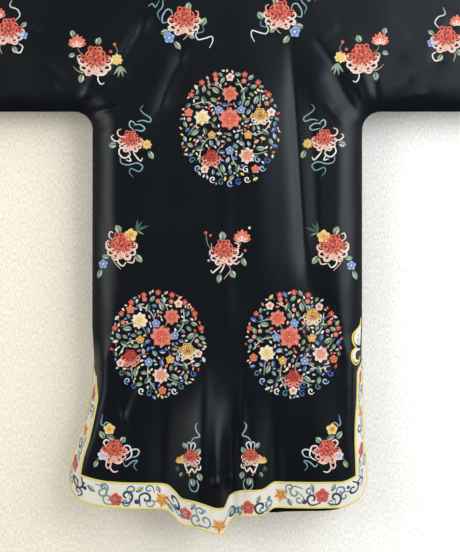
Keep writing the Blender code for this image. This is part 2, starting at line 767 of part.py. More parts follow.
def make_frog(name, frog, tree, material):
    """Knot button with its two cord legs, laid across the closing edge."""
    turn = math.radians(frog.turn)
    run = Vector((math.cos(turn), 0.0, math.sin(turn)))
    middle = Vector((frog.x, 0.0, -frog.down))
    rings = []
    for share in FROG_RINGS:
        swell = max(0.0, 1.0 - (share / KNOT_SHARE) ** 2)
        radius = CORD_RADIUS + (KNOT_RADIUS - CORD_RADIUS) * math.sqrt(swell)
        centre = middle + run * (FROG_HALF * share)
        heights = []
        for around in range(FROG_SIDES):
            angle = 2.0 * math.pi * around / FROG_SIDES
            probe = centre + Vector((math.cos(angle), 0.0, math.sin(angle))) * radius
            hit = tree.ray_cast(Vector((probe.x, 1.0, probe.z)), Vector((0.0, -1.0, 0.0)))
            heights.append(hit[0].y)
        centre.y = max(heights) + radius + FROG_CLEARANCE
        rings.append((centre, radius))
    frog_mesh = bmesh.new()
    loops = []
    across = run.cross(Vector((0.0, 1.0, 0.0)))
    for centre, radius in rings:
        loop = []
        for around in range(FROG_SIDES):
            angle = 2.0 * math.pi * around / FROG_SIDES
            spoke = across * math.cos(angle) + Vector((0.0, 1.0, 0.0)) * math.sin(angle)
            loop.append(frog_mesh.verts.new(centre + spoke * radius))
        loops.append(loop)
    for first, second in zip(loops, loops[1:]):
        for k in range(FROG_SIDES):
            after = (k + 1) % FROG_SIDES
            frog_mesh.faces.new((first[k], first[after], second[after], second[k]))
    frog_mesh.faces.new(loops[0])
    frog_mesh.faces.new(loops[-1])
    make_object(name, frog_mesh, material, smooth=True)


def build_robe():
    """Build every piece of the robe and its rod."""
    clear_scene()
    satin = make_material("black_satin", (0.006, 0.007, 0.009), 0.32)
    ribbon = make_material("cream_band", (0.80, 0.76, 0.68), 0.55)
    cord = make_material("yellow_piping", (0.80, 0.62, 0.12), 0.45)
    wood = make_material("rod_wood", (0.42, 0.25, 0.12), 0.50)
    knot = make_material("black_cord", (0.010, 0.010, 0.012), 0.45)
    grids = {BACK: build_grid(BACK), FRONT: build_grid(FRONT)}
    make_back(grids[BACK], satin)
    fronts = make_fronts(grids[FRONT], satin)
    left_columns = list(range(COL_SEAM_LEFT + 1))
    right_columns = list(range(COL_SEAM_RIGHT, COL_LAST + 1))
    make_extension("sleeve_left", left_columns, COL_SEAM_LEFT, -1.0, grids, satin)
    make_extension("sleeve_right", right_columns, COL_SEAM_RIGHT, 1.0, grids, satin)
    make_border("back", grids[BACK], ribbon, cord)
    make_border("front", grids[FRONT], ribbon, cord)
    collar = make_collar(grids, satin)
    make_rod(wood)
    tree = surface_tree([*fronts, collar])
    for number, frog in enumerate(FROGS, start=1):
        make_frog(f"frog_{number}", frog, tree, knot)


if __name__ == "__main__":
    build_robe()
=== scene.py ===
"""Finished pieces of an embroidered black satin robe that hangs on a wooden rod.

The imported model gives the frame. Every sheet of cloth here lies on the form of its own
solid, with finer folds, and the embroidery is stitched through the same form. +X runs
along the rod, +Y goes to the wall and +Z is up. The back of the robe faces -Y.
"""

import json
import logging
import math
from dataclasses import dataclass, field
from enum import Enum
from typing import Callable, NamedTuple, Optional, Sequence

import bmesh
import bpy
import numpy as np
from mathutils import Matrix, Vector

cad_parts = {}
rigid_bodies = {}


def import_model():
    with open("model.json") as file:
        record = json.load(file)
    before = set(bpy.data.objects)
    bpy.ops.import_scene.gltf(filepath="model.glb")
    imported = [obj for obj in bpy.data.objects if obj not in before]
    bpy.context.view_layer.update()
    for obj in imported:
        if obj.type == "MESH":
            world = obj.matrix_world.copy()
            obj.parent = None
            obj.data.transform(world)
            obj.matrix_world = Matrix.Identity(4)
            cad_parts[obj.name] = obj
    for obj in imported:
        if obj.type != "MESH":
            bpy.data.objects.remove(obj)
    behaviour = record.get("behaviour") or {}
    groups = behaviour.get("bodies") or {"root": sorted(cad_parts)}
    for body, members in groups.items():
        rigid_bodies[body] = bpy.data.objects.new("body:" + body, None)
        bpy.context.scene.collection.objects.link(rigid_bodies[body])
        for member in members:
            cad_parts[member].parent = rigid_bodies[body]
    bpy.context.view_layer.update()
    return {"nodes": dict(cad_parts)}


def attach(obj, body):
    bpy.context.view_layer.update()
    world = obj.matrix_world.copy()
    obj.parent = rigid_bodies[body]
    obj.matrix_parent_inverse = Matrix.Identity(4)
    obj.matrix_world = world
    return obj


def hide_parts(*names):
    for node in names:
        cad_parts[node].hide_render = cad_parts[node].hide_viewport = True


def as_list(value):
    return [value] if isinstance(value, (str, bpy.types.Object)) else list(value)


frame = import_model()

LOG = logging.getLogger("robe")

Array = np.ndarray
Colour = tuple[float, float, float]
Place = tuple[float, float]
Item = bpy.types.Object
Material = bpy.types.Material
Node = bpy.types.Node
Socket = bpy.types.NodeSocket
MM = 0.001
TINY = 1e-9
SCROLL_WINDING = 6.3
SCROLL_CLOSING = 0.80
SCROLL_WIDTH = 1.9
SCROLL_WIDENING = 0.25
SCROLL_TAIL = 1.3
MERGE_DISTANCE = 0.00005


class Face(Enum):
    """Side of the robe, with the sign of Y on that side."""

    BACK = -1.0
    FRONT = 1.0


class Side(NamedTuple):
    """Half width of the robe on both sides, at a distance below the rod."""

    down: float
    left: float
    right: float


class Hem(NamedTuple):
    """Drop of the hem below the rod, at a place across the robe."""

    x: float
    back: float
    front: float


class Depth(NamedTuple):
    """Distance of the cloth from the middle plane, at a distance below the rod."""

    down: float
    body: float
    sleeve: float


class Slit(NamedTuple):
    """Distance of a slit's open edge from the middle plane."""

    down: float
    back: float
    front: float


class Fold(NamedTuple):
    """Soft ridge, or trough where the height is negative, that fades at both ends."""

    x1: float
    down1: float
    x2: float
    down2: float
    width: float
    height: float


class Column(NamedTuple):
    """Place of a grid column at the shoulder and at the hem."""

    shoulder: float
    hem: float


class Show(NamedTuple):
    """Width of the back's band that shows, and how far its cloth rounds over there."""

    down: float
    left: float
    right: float
    round: float


class EdgeStep(NamedTuple):
    """Step in from the side edge: at the seam, the back's slit and the front's slit."""

    seam: float
    back_share: Optional[float]
    front_slit: float


class Dye(Enum):
    """Silk colours of the embroidery, as they look in daylight."""

    DEEP_RED = "bf3a29"
    CORAL = "dc5a44"
    SALMON = "e88c75"
    PINK = "eebcad"
    CREAM = "efe6d6"
    WHITE = "f1eee8"
    GOLD = "e6b74c"
    PALE_GOLD = "f4dc97"
    SAGE = "8fa38a"
    PALE_SAGE = "c2cfb5"
    GREEN = "3f6152"
    TEAL = "4b8090"
    PALE_TEAL = "93b8bc"
    BLUE = "3f66bd"
    PALE_BLUE = "a6bfe8"
    NAVY = "2a2f78"
    INK = "1f3a48"
    ASH = "7d9391"
    ORANGE = "e2923a"
    BROWN = "a8744a"
    YELLOW = "ecd94a"

    @property
    def rgb(self) -> Array:
        """Linear colour."""
        value = np.array([int(self.value[k : k + 2], 16) / 255.0 for k in (0, 2, 4)])
        return np.where(value <= 0.04045, value / 12.92, ((value + 0.055) / 1.055) ** 2.4)


(
    DEEP_RED, CORAL, SALMON, PINK, CREAM, WHITE, GOLD, PALE_GOLD, SAGE, PALE_SAGE, GREEN,
    TEAL, PALE_TEAL, BLUE, PALE_BLUE, NAVY, INK, ASH, ORANGE, BROWN, YELLOW,
) = Dye


class Bloom(Enum):
    """Kinds of flower in the embroidery."""

    CHRYSANTHEMUM = "chrysanthemum"
    PEONY = "peony"
    BLOSSOM = "blossom"
    CUP = "cup"
    STAR = "star"


CHRYSANTHEMUM, PEONY, BLOSSOM, CUP, STAR = Bloom


class Flower(NamedTuple):
    """Flower in a plan: sizes in millimetres from the plan's middle, and three colours."""

    bloom: Bloom
    across: float
    down: float
    radius: float
    inner: Dye
    middle: Dye
    outer: Dye


class Leaf(NamedTuple):
    """Leaf in a plan, placed by its middle; turn in degrees from across toward down."""

    across: float
    down: float
    turn: float
    length: float
    width: float
    dye: Dye


class Ribbon(NamedTuple):
    """Curved line in a plan, with its colours at both ends and the points that it passes."""

    width: float
    start: Dye
    end: Dye
    path: tuple[Place, ...]


class Bud(NamedTuple):
    """Small round bud in a plan, with its whole width."""

    across: float
    down: float
    width: float
    dye: Dye


class Tuft(NamedTuple):
    """Tuft of narrow blades in a plan."""

    across: float
    down: float
    turn: float
    length: float
    dye: Dye
    count: int


class Curl(NamedTuple):
    """Scroll in a plan that winds in to its place; hand is 1 or -1."""

    across: float
    down: float
    radius: float
    turn: float
    hand: int
    dye: Dye


class Spray(NamedTuple):
    """Plan of one embroidered motif."""

    flowers: tuple[Flower, ...] = ()
    leaves: tuple[Leaf, ...] = ()
    ribbons: tuple[Ribbon, ...] = ()
    buds: tuple[Bud, ...] = ()
    tufts: tuple[Tuft, ...] = ()
    curls: tuple[Curl, ...] = ()


class SprayPlace(NamedTuple):
    """Where a spray is sewn on the back, on which panel, and whether it is turned over."""

    name: str
    spray: Spray
    panel: str
    x: float
    down: float
    mirror: bool


class BandStart(NamedTuple):
    """Row of the grid where a slit's band begins, at its inner and its outer edge."""

    row: int
    inner: float
    outer: float


class SlitFlower(NamedTuple):
    """Flower on the band of a slit, at a distance below the rod."""

    down: float
    dye: Dye


class Closing(NamedTuple):
    """Point of the front's closing edge."""

    x: float
    down: float


# Columns: down, left, right.
SIDE_OUTLINE = (
    Side(0.38, 0.3155, 0.3145),
    Side(0.83, 0.3160, 0.3145),
    Side(0.914, 0.3135, 0.3150),
    Side(0.971, 0.3157, 0.3165),
    Side(1.034, 0.3300, 0.3180),
    Side(1.095, 0.3470, 0.3205),
    Side(1.150, 0.3660, 0.3255),
    Side(1.190, 0.3725, 0.3280),
)
# Columns: x, back, front.
HEM = (
    Hem(-0.373, 1.207, 1.192),
    Hem(-0.358, 1.229, 1.222),
    Hem(-0.331, 1.242, 1.243),
    Hem(-0.276, 1.253, 1.256),
    Hem(-0.160, 1.258, 1.264),
    Hem(-0.138, 1.262, 1.267),
    Hem(-0.121, 1.275, 1.268),
    Hem(-0.104, 1.291, 1.270),
    Hem(-0.076, 1.295, 1.272),
    Hem(-0.011, 1.311, 1.276),
    Hem(0.003, 1.286, 1.277),
    Hem(0.040, 1.273, 1.277),
    Hem(0.076, 1.271, 1.277),
    Hem(0.112, 1.255, 1.277),
    Hem(0.210, 1.254, 1.277),
    Hem(0.260, 1.254, 1.272),
    Hem(0.296, 1.241, 1.252),
    Hem(0.319, 1.224, 1.225),
    Hem(0.328, 1.206, 1.202),
)
FOLD_RADIUS = 0.0132
DEPTHS = (
    Depth(down=0.00, body=FOLD_RADIUS, sleeve=FOLD_RADIUS),
    Depth(down=0.10, body=0.017, sleeve=0.0165),
    Depth(down=0.25, body=0.024, sleeve=0.020),
    Depth(down=0.45, body=0.028, sleeve=0.020),
    Depth(down=0.85, body=0.029, sleeve=0.020),
    Depth(down=1.05, body=0.030, sleeve=0.020),
    Depth(down=1.33, body=0.034, sleeve=0.020),
)
SLIT_TOP = 0.845
EDGE_DEPTH = 0.00015
SLIT_EDGE = (
    Slit(down=SLIT_TOP, back=EDGE_DEPTH, front=EDGE_DEPTH),
    Slit(down=0.90, back=-0.008, front=0.014),
    Slit(down=0.98, back=-0.022, front=0.033),
    Slit(down=1.30, back=-0.026, front=0.038),
)
SLIT_SHOW = (
    Show(down=SLIT_TOP, left=0.0060, right=0.0140, round=0.060),
    Show(down=0.914, left=0.0070, right=0.0145, round=0.036),
    Show(down=0.971, left=0.0125, right=0.0170, round=0.036),
    Show(down=1.008, left=0.0225, right=0.0190, round=0.038),
    Show(down=1.055, left=0.0260, right=0.0235, round=0.040),
    Show(down=1.150, left=0.0310, right=0.0300, round=0.040),
    Show(down=1.190, left=0.0320, right=0.0320, round=0.040),
)
INNER_CORD_SHOW = 0.0034
INNER_CORD_SHARE = 0.45
# Columns of every fold and crease: x1, down1, x2, down2, width, height.
MAIN_FOLDS = {
    Face.BACK: (
        Fold(-0.050, 0.90, -0.062, 1.60, 0.045, 0.024),
        Fold(-0.022, 1.00, -0.024, 1.60, 0.016, 0.013),
        Fold(0.010, 0.95, 0.014, 1.60, 0.016, -0.011),
        Fold(0.060, 0.95, 0.066, 1.60, 0.028, 0.009),
        Fold(0.110, 0.95, 0.118, 1.60, 0.022, -0.009),
        Fold(0.200, 0.85, 0.215, 1.60, 0.045, 0.006),
        Fold(-0.140, 0.90, -0.158, 1.60, 0.026, -0.008),
        Fold(-0.230, 0.95, -0.245, 1.60, 0.040, 0.005),
        Fold(0.155, 0.14, 0.195, 0.80, 0.028, -0.009),
        Fold(0.200, 0.72, 0.250, 0.95, 0.024, -0.006),
        Fold(0.070, 0.16, 0.075, 0.80, 0.045, 0.005),
        Fold(-0.282, 0.30, -0.175, 0.10, 0.022, -0.006),
        Fold(-0.180, 0.39, -0.092, 0.16, 0.022, -0.005),
        Fold(0.300, 0.36, 0.235, 0.22, 0.022, -0.006),
    ),
    Face.FRONT: (
        Fold(0.030, 0.90, 0.040, 1.60, 0.040, 0.015),
        Fold(0.105, 0.95, 0.115, 1.60, 0.026, -0.009),
        Fold(-0.060, 0.92, -0.068, 1.60, 0.030, -0.010),
        Fold(-0.150, 0.88, -0.160, 1.60, 0.040, 0.009),
        Fold(0.190, 0.95, 0.205, 1.60, 0.040, 0.006),
        Fold(-0.150, 0.20, -0.185, 0.82, 0.030, -0.008),
        Fold(0.060, 0.30, 0.080, 0.85, 0.040, -0.006),
        Fold(0.265, 0.42, 0.150, 0.75, 0.028, -0.006),
        Fold(-0.285, 0.34, -0.190, 0.14, 0.024, -0.006),
    ),
}
CREASES = {
    Face.BACK: (
        Fold(-0.300, 0.285, -0.165, 0.085, 0.009, -0.0024),
        Fold(-0.268, 0.245, -0.195, 0.120, 0.007, 0.0022),
        Fold(-0.176, 0.375, -0.088, 0.170, 0.010, -0.0028),
        Fold(-0.342, 0.345, -0.235, 0.318, 0.006, -0.0018),
        Fold(-0.350, 0.330, -0.285, 0.200, 0.008, 0.0020),
        Fold(-0.230, 0.420, -0.120, 0.330, 0.012, 0.0015),
        Fold(0.312, 0.352, 0.252, 0.250, 0.007, -0.0020),
        Fold(0.296, 0.390, 0.212, 0.300, 0.008, 0.0014),
        Fold(0.355, 0.322, 0.500, 0.296, 0.007, -0.0022),
        Fold(0.380, 0.300, 0.640, 0.312, 0.009, 0.0016),
        Fold(0.142, 0.100, 0.186, 0.760, 0.011, -0.0036),
        Fold(0.196, 0.240, 0.214, 0.700, 0.016, 0.0020),
        Fold(0.232, 0.745, 0.262, 0.870, 0.008, -0.0025),
        Fold(-0.008, 0.300, 0.004, 0.900, 0.013, 0.0014),
        Fold(-0.048, 0.870, -0.066, 1.250, 0.014, 0.0024),
        Fold(-0.205, 0.940, -0.250, 1.060, 0.009, -0.0028),
        Fold(-0.262, 0.960, -0.222, 1.110, 0.008, -0.0020),
        Fold(0.036, 0.900, 0.038, 1.340, 0.007, -0.0030),
        Fold(0.088, 1.000, 0.086, 1.340, 0.008, 0.0012),
        Fold(0.150, 1.050, 0.156, 1.340, 0.012, -0.0012),
        Fold(0.250, 1.080, 0.262, 1.340, 0.014, 0.0012),
        Fold(-0.046, 1.196, 0.016, 1.184, 0.008, 0.0030),
        Fold(-0.300, 0.520, -0.262, 0.800, 0.018, -0.0018),
        Fold(0.286, 0.500, 0.270, 0.760, 0.016, -0.0016),
        Fold(-0.560, 0.130, -0.420, 0.150, 0.010, -0.0018),
        Fold(-0.640, 0.292, -0.460, 0.306, 0.009, 0.0018),
        Fold(0.540, 0.090, 0.470, 0.230, 0.012, -0.0018),
        Fold(0.326, 0.342, 0.276, 0.252, 0.008, -0.0022),
        Fold(0.284, 0.276, 0.196, 0.150, 0.009, -0.0018),
        Fold(0.342, 0.326, 0.306, 0.218, 0.007, 0.0018),
        Fold(0.310, 0.372, 0.248, 0.318, 0.007, 0.0016),
        Fold(0.350, 0.318, 0.338, 0.232, 0.006, -0.0020),
        Fold(0.366, 0.314, 0.470, 0.286, 0.007, 0.0026),
        Fold(0.358, 0.296, 0.440, 0.256, 0.006, -0.0018),
        Fold(0.396, 0.246, 0.520, 0.218, 0.007, -0.0016),
        Fold(0.392, 0.208, 0.505, 0.190, 0.006, 0.0013),
        Fold(0.408, 0.162, 0.486, 0.150, 0.006, -0.0012),
        Fold(0.196, 0.170, 0.262, 0.128, 0.009, 0.0016),
        Fold(-0.352, 0.302, -0.296, 0.284, 0.006, 0.0018),
        Fold(-0.362, 0.318, -0.420, 0.262, 0.006, -0.0022),
        Fold(-0.384, 0.314, -0.462, 0.298, 0.006, 0.0020),
        Fold(-0.334, 0.334, -0.246, 0.324, 0.006, -0.0022),
        Fold(-0.372, 0.262, -0.440, 0.214, 0.008, -0.0015),
        Fold(-0.316, 0.392, -0.250, 0.366, 0.008, 0.0016),
        Fold(-0.150, 0.330, -0.108, 0.220, 0.007, 0.0018),
    ),
    Face.FRONT: (
        Fold(0.296, 0.330, 0.180, 0.255, 0.009, -0.0026),
        Fold(0.310, 0.400, 0.220, 0.450, 0.010, -0.0022),
        Fold(-0.305, 0.300, -0.200, 0.110, 0.010, -0.0028),
        Fold(-0.260, 0.400, -0.150, 0.300, 0.011, 0.0020),
        Fold(-0.145, 0.250, -0.178, 0.760, 0.012, -0.0032),
        Fold(0.020, 0.380, 0.030, 0.900, 0.014, 0.0016),
        Fold(0.130, 0.980, 0.140, 1.340, 0.009, 0.0026),
        Fold(-0.020, 0.960, -0.026, 1.340, 0.010, -0.0026),
        Fold(-0.240, 0.900, -0.262, 1.300, 0.015, -0.0024),
        Fold(0.240, 0.940, 0.262, 1.300, 0.012, -0.0022),
        Fold(-0.350, 0.320, -0.520, 0.292, 0.008, -0.0020),
        Fold(0.360, 0.316, 0.560, 0.300, 0.009, 0.0018),
        Fold(0.420, 0.110, 0.600, 0.160, 0.012, -0.0016),
    ),
}
NECK_HALF = 0.068
NECK_FRONT_HALF = 0.057
# Columns: place at the shoulder, place at the hem.
MIDDLE_COLUMNS = (
    Column(-0.2100, -0.225),
    Column(-0.1550, -0.168),
    Column(-0.1050, -0.142),
    Column(-NECK_HALF, -0.124),
    Column(-0.0645, -0.108),
    Column(-0.0610, -0.092),
    Column(-NECK_FRONT_HALF, -0.074),
    Column(-0.0350, -0.045),
    Column(0.0, -0.016),
    Column(0.0350, -0.004),
    Column(NECK_FRONT_HALF, 0.010),
    Column(0.0610, 0.035),
    Column(0.0645, 0.062),
    Column(NECK_HALF, 0.086),
    Column(0.1050, 0.113),
    Column(0.1550, 0.160),
    Column(0.2100, 0.215),
)
PIPING_WIDTH = 0.004
BAND_WIDTH = 0.061
EDGE_STEPS = (
    EdgeStep(seam=0.0, back_share=0.0, front_slit=0.0),
    EdgeStep(seam=0.008, back_share=0.044, front_slit=PIPING_WIDTH),
    EdgeStep(seam=0.024, back_share=0.36, front_slit=BAND_WIDTH / 2),
    EdgeStep(seam=0.044, back_share=None, front_slit=BAND_WIDTH - PIPING_WIDTH),
    EdgeStep(seam=0.061, back_share=1.0, front_slit=BAND_WIDTH),
)
# Columns: x, down.
CLOSING_EDGE = (
    Closing(0.0, 0.105),
    Closing(0.060, 0.116),
    Closing(0.120, 0.148),
    Closing(0.200, 0.206),
    Closing(0.270, 0.256),
    Closing(0.315, 0.280),
)

# Plans, in millimetres. Flowers: kind, across, down, radius and three dyes. Leaves: across, down,
# turn, length, width, dye. Ribbons: width, two dyes, points. Buds: across, down, width, dye. Tufts:
# across, down, turn, length, dye, count. Curls: across, down, radius, turn, hand, dye.
SHOULDER = Spray(
    flowers=(
        Flower(CHRYSANTHEMUM, 0.0, -2.6, 32.5, CORAL, SALMON, CREAM),
        Flower(BLOSSOM, -34.8, 38.1, 12.8, BLUE, PALE_BLUE, WHITE),
    ),
    leaves=(
        Leaf(9.8, -36.2, -80, 18.6, 16.3, SAGE), Leaf(45.3, 0.0, -60, 20.9, 16.3, SAGE),
        Leaf(-45.3, 24.6, -20, 20.9, 13.9, SAGE), Leaf(17.4, 34.6, 30, 16.3, 11.6, SAGE),
        Leaf(-15.6, 55.8, 50, 23.2, 13.9, SAGE),
    ),
    ribbons=(
        Ribbon(3.7, PALE_TEAL, PALE_TEAL, (
            (-26.9, -13.0), (-30.2, -25.8), (-40.9, -28.1), (-51.1, -11.2), (-49.5, 2.8), (-37.2, 0.0),
        )),
        Ribbon(3.5, TEAL, PALE_TEAL, ((-56.9, -3.7), (-62.0, -20.0), (-51.1, -33.9), (-49.5, -50.2))),
        Ribbon(3.5, PALE_TEAL, TEAL, ((-83.6, -36.2), (-74.3, -42.3), (-67.4, -33.9), (-58.1, -50.2))),
        Ribbon(3.3, WHITE, WHITE, (
            (26.7, 14.9), (31.4, 24.2), (26.7, 31.1), (32.5, 42.3), (48.8, 39.5), (64.6, 35.3), (66.0, 47.4),
            (59.0, 62.0),
        )),
        Ribbon(3.7, TEAL, TEAL, ((18.1, 22.5), (32.5, 26.5), (44.8, 22.5), (43.4, 9.8))),
        Ribbon(2.8, BROWN, PINK, ((13.9, 21.8), (7.0, 33.5), (-2.3, 42.7))),
        Ribbon(3.9, PINK, CREAM, ((-18.6, 17.2), (-32.5, 21.8), (-37.2, 13.7), (-32.5, 9.1))),
        Ribbon(3.9, SALMON, PINK, ((18.6, -1.4), (30.2, -8.4), (32.5, -22.3), (25.6, -25.8))),
    ),
)
UPPER_SLEEVE = Spray(
    flowers=(
        Flower(CHRYSANTHEMUM, -1.2, 1.4, 33.7, CORAL, SALMON, CREAM),
        Flower(CUP, -44.1, -42.7, 18.6, SALMON, CORAL, CREAM),
        Flower(PEONY, 48.8, -0.9, 13.5, PALE_GOLD, GOLD, PALE_GOLD),
    ),
    leaves=(
        Leaf(-54.6, -62.5, -110, 16.3, 13.9, SAGE), Leaf(5.8, -43.9, -70, 18.6, 16.3, SAGE),
        Leaf(-55.8, -11.4, 160, 16.3, 11.6, SAGE), Leaf(-33.7, 43.2, 100, 20.9, 16.3, SAGE),
    ),
    ribbons=(
        Ribbon(2.8, BROWN, PINK, ((-53.4, 14.2), (-43.0, 24.6), (-29.0, 29.3), (-15.1, 17.7))),
        Ribbon(3.7, CREAM, CREAM, (
            (-10.5, 20.0), (-3.5, 31.6), (5.8, 36.2), (19.7, 33.9), (26.7, 24.6), (17.4, 20.0),
        )),
        Ribbon(3.5, WHITE, WHITE, ((4.6, 33.9), (5.8, 47.9), (12.8, 57.1), (19.7, 53.7))),
        Ribbon(3.5, CREAM, PINK, ((-22.1, 15.3), (-38.3, 3.7), (-43.0, -7.9), (-33.7, -12.5))),
        Ribbon(2.1, BROWN, SAGE, ((-43.0, -31.1), (-38.3, -19.5), (-29.0, -12.5))),
        Ribbon(1.9, SAGE, SAGE, ((43.0, -10.2), (49.9, -21.8), (43.0, -35.8))),
    ),
    buds=(
        Bud(43.7, -36.5, 7.4, CORAL), Bud(34.8, -19.5, 7.0, CORAL), Bud(-34.8, 17.7, 4.2, PALE_TEAL),
    ),
    tufts=(
        Tuft(54.6, 13.0, 78, 30.2, SAGE, 4),
    ),
)
LOWER_SLEEVE = Spray(
    flowers=(
        Flower(CHRYSANTHEMUM, 2.3, 0.0, 30.2, CORAL, SALMON, CREAM),
        Flower(BLOSSOM, -31.4, 9.3, 10.5, BLUE, PALE_BLUE, WHITE),
        Flower(CUP, 27.9, -41.8, 16.3, SALMON, CORAL, CREAM),
    ),
    leaves=(
        Leaf(-32.5, -15.1, -150, 16.3, 11.6, SAGE), Leaf(-11.6, 44.1, 120, 18.6, 13.9, SAGE),
        Leaf(32.5, 32.5, 40, 18.6, 13.9, SAGE),
    ),
    ribbons=(
        Ribbon(3.7, WHITE, WHITE, ((-20.9, 30.2), (-30.2, 37.2), (-23.2, 51.1), (-9.3, 46.5))),
        Ribbon(3.7, WHITE, PALE_TEAL, (
            (-13.9, -25.6), (-23.2, -37.2), (-16.3, -51.1), (0.0, -58.1), (-4.6, -74.3),
        )),
        Ribbon(2.3, BROWN, PINK, ((13.9, 23.2), (23.2, 37.2), (18.6, 53.4))),
    ),
    buds=(
        Bud(39.5, -11.6, 6.5, CORAL), Bud(46.5, 4.6, 5.6, CORAL),
    ),
)
CHEST = Spray(
    flowers=(
        Flower(CHRYSANTHEMUM, 1.2, 3.5, 24.4, CORAL, SALMON, CREAM),
        Flower(PEONY, 39.0, 11.4, 12.1, GOLD, PALE_GOLD, GOLD),
    ),
    leaves=(
        Leaf(-40.0, 12.8, 170, 18.6, 16.3, SAGE), Leaf(48.6, 36.0, 60, 20.9, 13.9, SAGE),
    ),
    ribbons=(
        Ribbon(3.9, TEAL, PALE_TEAL, (
            (30.7, -80.1), (23.9, -70.9), (30.7, -61.1), (47.2, -49.9), (45.3, -40.7), (29.3, -44.6),
            (15.8, -41.8),
        )),
        Ribbon(3.7, PALE_TEAL, PALE_TEAL, ((12.8, -36.0), (1.9, -43.4), (-1.4, -32.3), (8.8, -21.4))),
        Ribbon(3.7, PALE_TEAL, PALE_TEAL, (
            (8.8, -33.7), (23.2, -34.8), (33.9, -26.2), (27.9, -19.7), (11.6, -23.2),
        )),
        Ribbon(3.7, CREAM, PINK, ((-9.3, -5.8), (-25.6, -8.1), (-29.0, -19.7), (-19.7, -24.4))),
        Ribbon(3.7, CREAM, CREAM, ((-18.6, 3.5), (-34.8, 3.5), (-43.7, -5.8), (-37.6, -10.9))),
        Ribbon(3.9, SALMON, CORAL, ((16.3, 15.1), (27.9, 12.8), (30.2, 1.2))),
        Ribbon(3.7, WHITE, WHITE, (
            (-7.0, 22.1), (-20.9, 18.8), (-25.6, 31.4), (-13.9, 43.0), (0.0, 36.0), (-4.6, 24.4),
        )),
        Ribbon(3.7, WHITE, CREAM, ((7.0, 29.0), (13.0, 38.3), (24.4, 49.9), (29.0, 42.5))),
        Ribbon(3.3, WHITE, WHITE, ((-4.6, 36.0), (2.3, 49.9), (-9.3, 47.6))),
        Ribbon(3.7, PALE_TEAL, TEAL, (
            (-22.5, 41.6), (-21.1, 53.7), (-6.0, 59.2), (16.3, 54.6), (29.3, 62.7), (20.9, 74.3), (2.3, 67.4),
            (-1.2, 76.9), (7.4, 88.0),
        )),
    ),
)
WAIST_SIDE = Spray(
    flowers=(
        Flower(CHRYSANTHEMUM, -0.7, 0.0, 31.4, CORAL, SALMON, CREAM),
        Flower(BLOSSOM, 20.9, -25.8, 15.1, GOLD, PALE_GOLD, ORANGE),
        Flower(BLOSSOM, -43.7, 41.8, 10.7, BLUE, PALE_BLUE, WHITE),
    ),
    leaves=(
        Leaf(-8.1, -39.5, -120, 20.9, 16.3, SAGE), Leaf(39.5, 28.8, 50, 23.2, 15.1, SAGE),
        Leaf(-37.6, 24.6, 185, 18.6, 11.6, SAGE), Leaf(-52.3, 63.9, 112, 23.2, 12.8, SAGE),
    ),
    ribbons=(
        Ribbon(2.8, BROWN, PINK, ((-20.0, 22.5), (-18.6, 34.8), (-2.3, 53.9))),
        Ribbon(3.9, CREAM, CREAM, ((-22.8, 9.3), (-33.2, 4.6), (-36.7, -7.0), (-29.7, -13.9))),
        Ribbon(3.9, PINK, CREAM, ((-20.4, -13.9), (-29.7, -23.2), (-26.2, -33.7), (-19.3, -30.2))),
        Ribbon(3.7, WHITE, WHITE, ((-6.5, 20.9), (-8.8, 37.2), (2.8, 46.5), (9.8, 37.2))),
        Ribbon(3.9, CREAM, PINK, ((12.1, 37.2), (26.0, 38.3), (30.7, 25.6))),
    ),
    tufts=(
        Tuft(33.7, -36.0, -75, 27.9, GREEN, 2), Tuft(34.1, -35.3, -28, 31.4, GREEN, 1),
        Tuft(34.8, -34.8, 20, 18.6, SAGE, 1),
    ),
)
WAIST_MIDDLE = Spray(
    flowers=(
        Flower(CHRYSANTHEMUM, 4.6, -4.6, 29.0, CORAL, SALMON, CREAM),
        Flower(CUP, 46.7, -39.7, 18.6, SALMON, CORAL, CREAM),
    ),
    leaves=(
        Leaf(1.4, -41.8, -95, 20.9, 18.6, SAGE), Leaf(50.6, 18.6, 65, 20.9, 12.8, SAGE),
        Leaf(25.1, 46.9, 60, 18.6, 16.3, SAGE), Leaf(-6.5, 56.7, 100, 20.9, 13.9, SAGE),
    ),
    ribbons=(
        Ribbon(3.9, CREAM, WHITE, ((23.2, -9.3), (36.0, -9.3), (38.3, -23.2), (29.0, -25.6))),
        Ribbon(3.9, WHITE, CREAM, ((27.9, 4.6), (41.8, 7.0), (48.8, -2.3))),
        Ribbon(4.2, WHITE, PINK, ((18.6, 13.9), (32.5, 23.2), (41.8, 16.3))),
        Ribbon(3.7, WHITE, WHITE, ((0.0, 25.6), (-13.9, 37.2), (-22.1, 44.1), (-25.6, 37.2))),
        Ribbon(3.7, WHITE, WHITE, ((7.0, 23.2), (0.0, 37.2), (-5.1, 44.1))),
        Ribbon(2.6, BROWN, PINK, ((11.6, 23.2), (19.7, 37.2), (4.6, 58.1))),
        Ribbon(2.1, SAGE, BROWN, ((-37.2, -46.5), (-34.8, -27.9), (-27.9, -11.6))),
        Ribbon(2.1, BROWN, SALMON, ((45.3, -27.9), (37.2, -11.6))),
        Ribbon(2.3, PALE_TEAL, PALE_TEAL, ((-24.4, -25.6), (-25.6, -11.6), (-30.2, -2.3))),
    ),
    buds=(
        Bud(-37.9, -49.2, 7.0, CORAL), Bud(-26.9, -43.0, 6.0, CORAL), Bud(-27.9, 2.3, 6.5, BLUE),
        Bud(-31.1, 15.3, 5.6, PALE_BLUE), Bud(53.9, -7.9, 6.5, CORAL), Bud(63.9, -60.4, 6.0, CREAM),
    ),
)
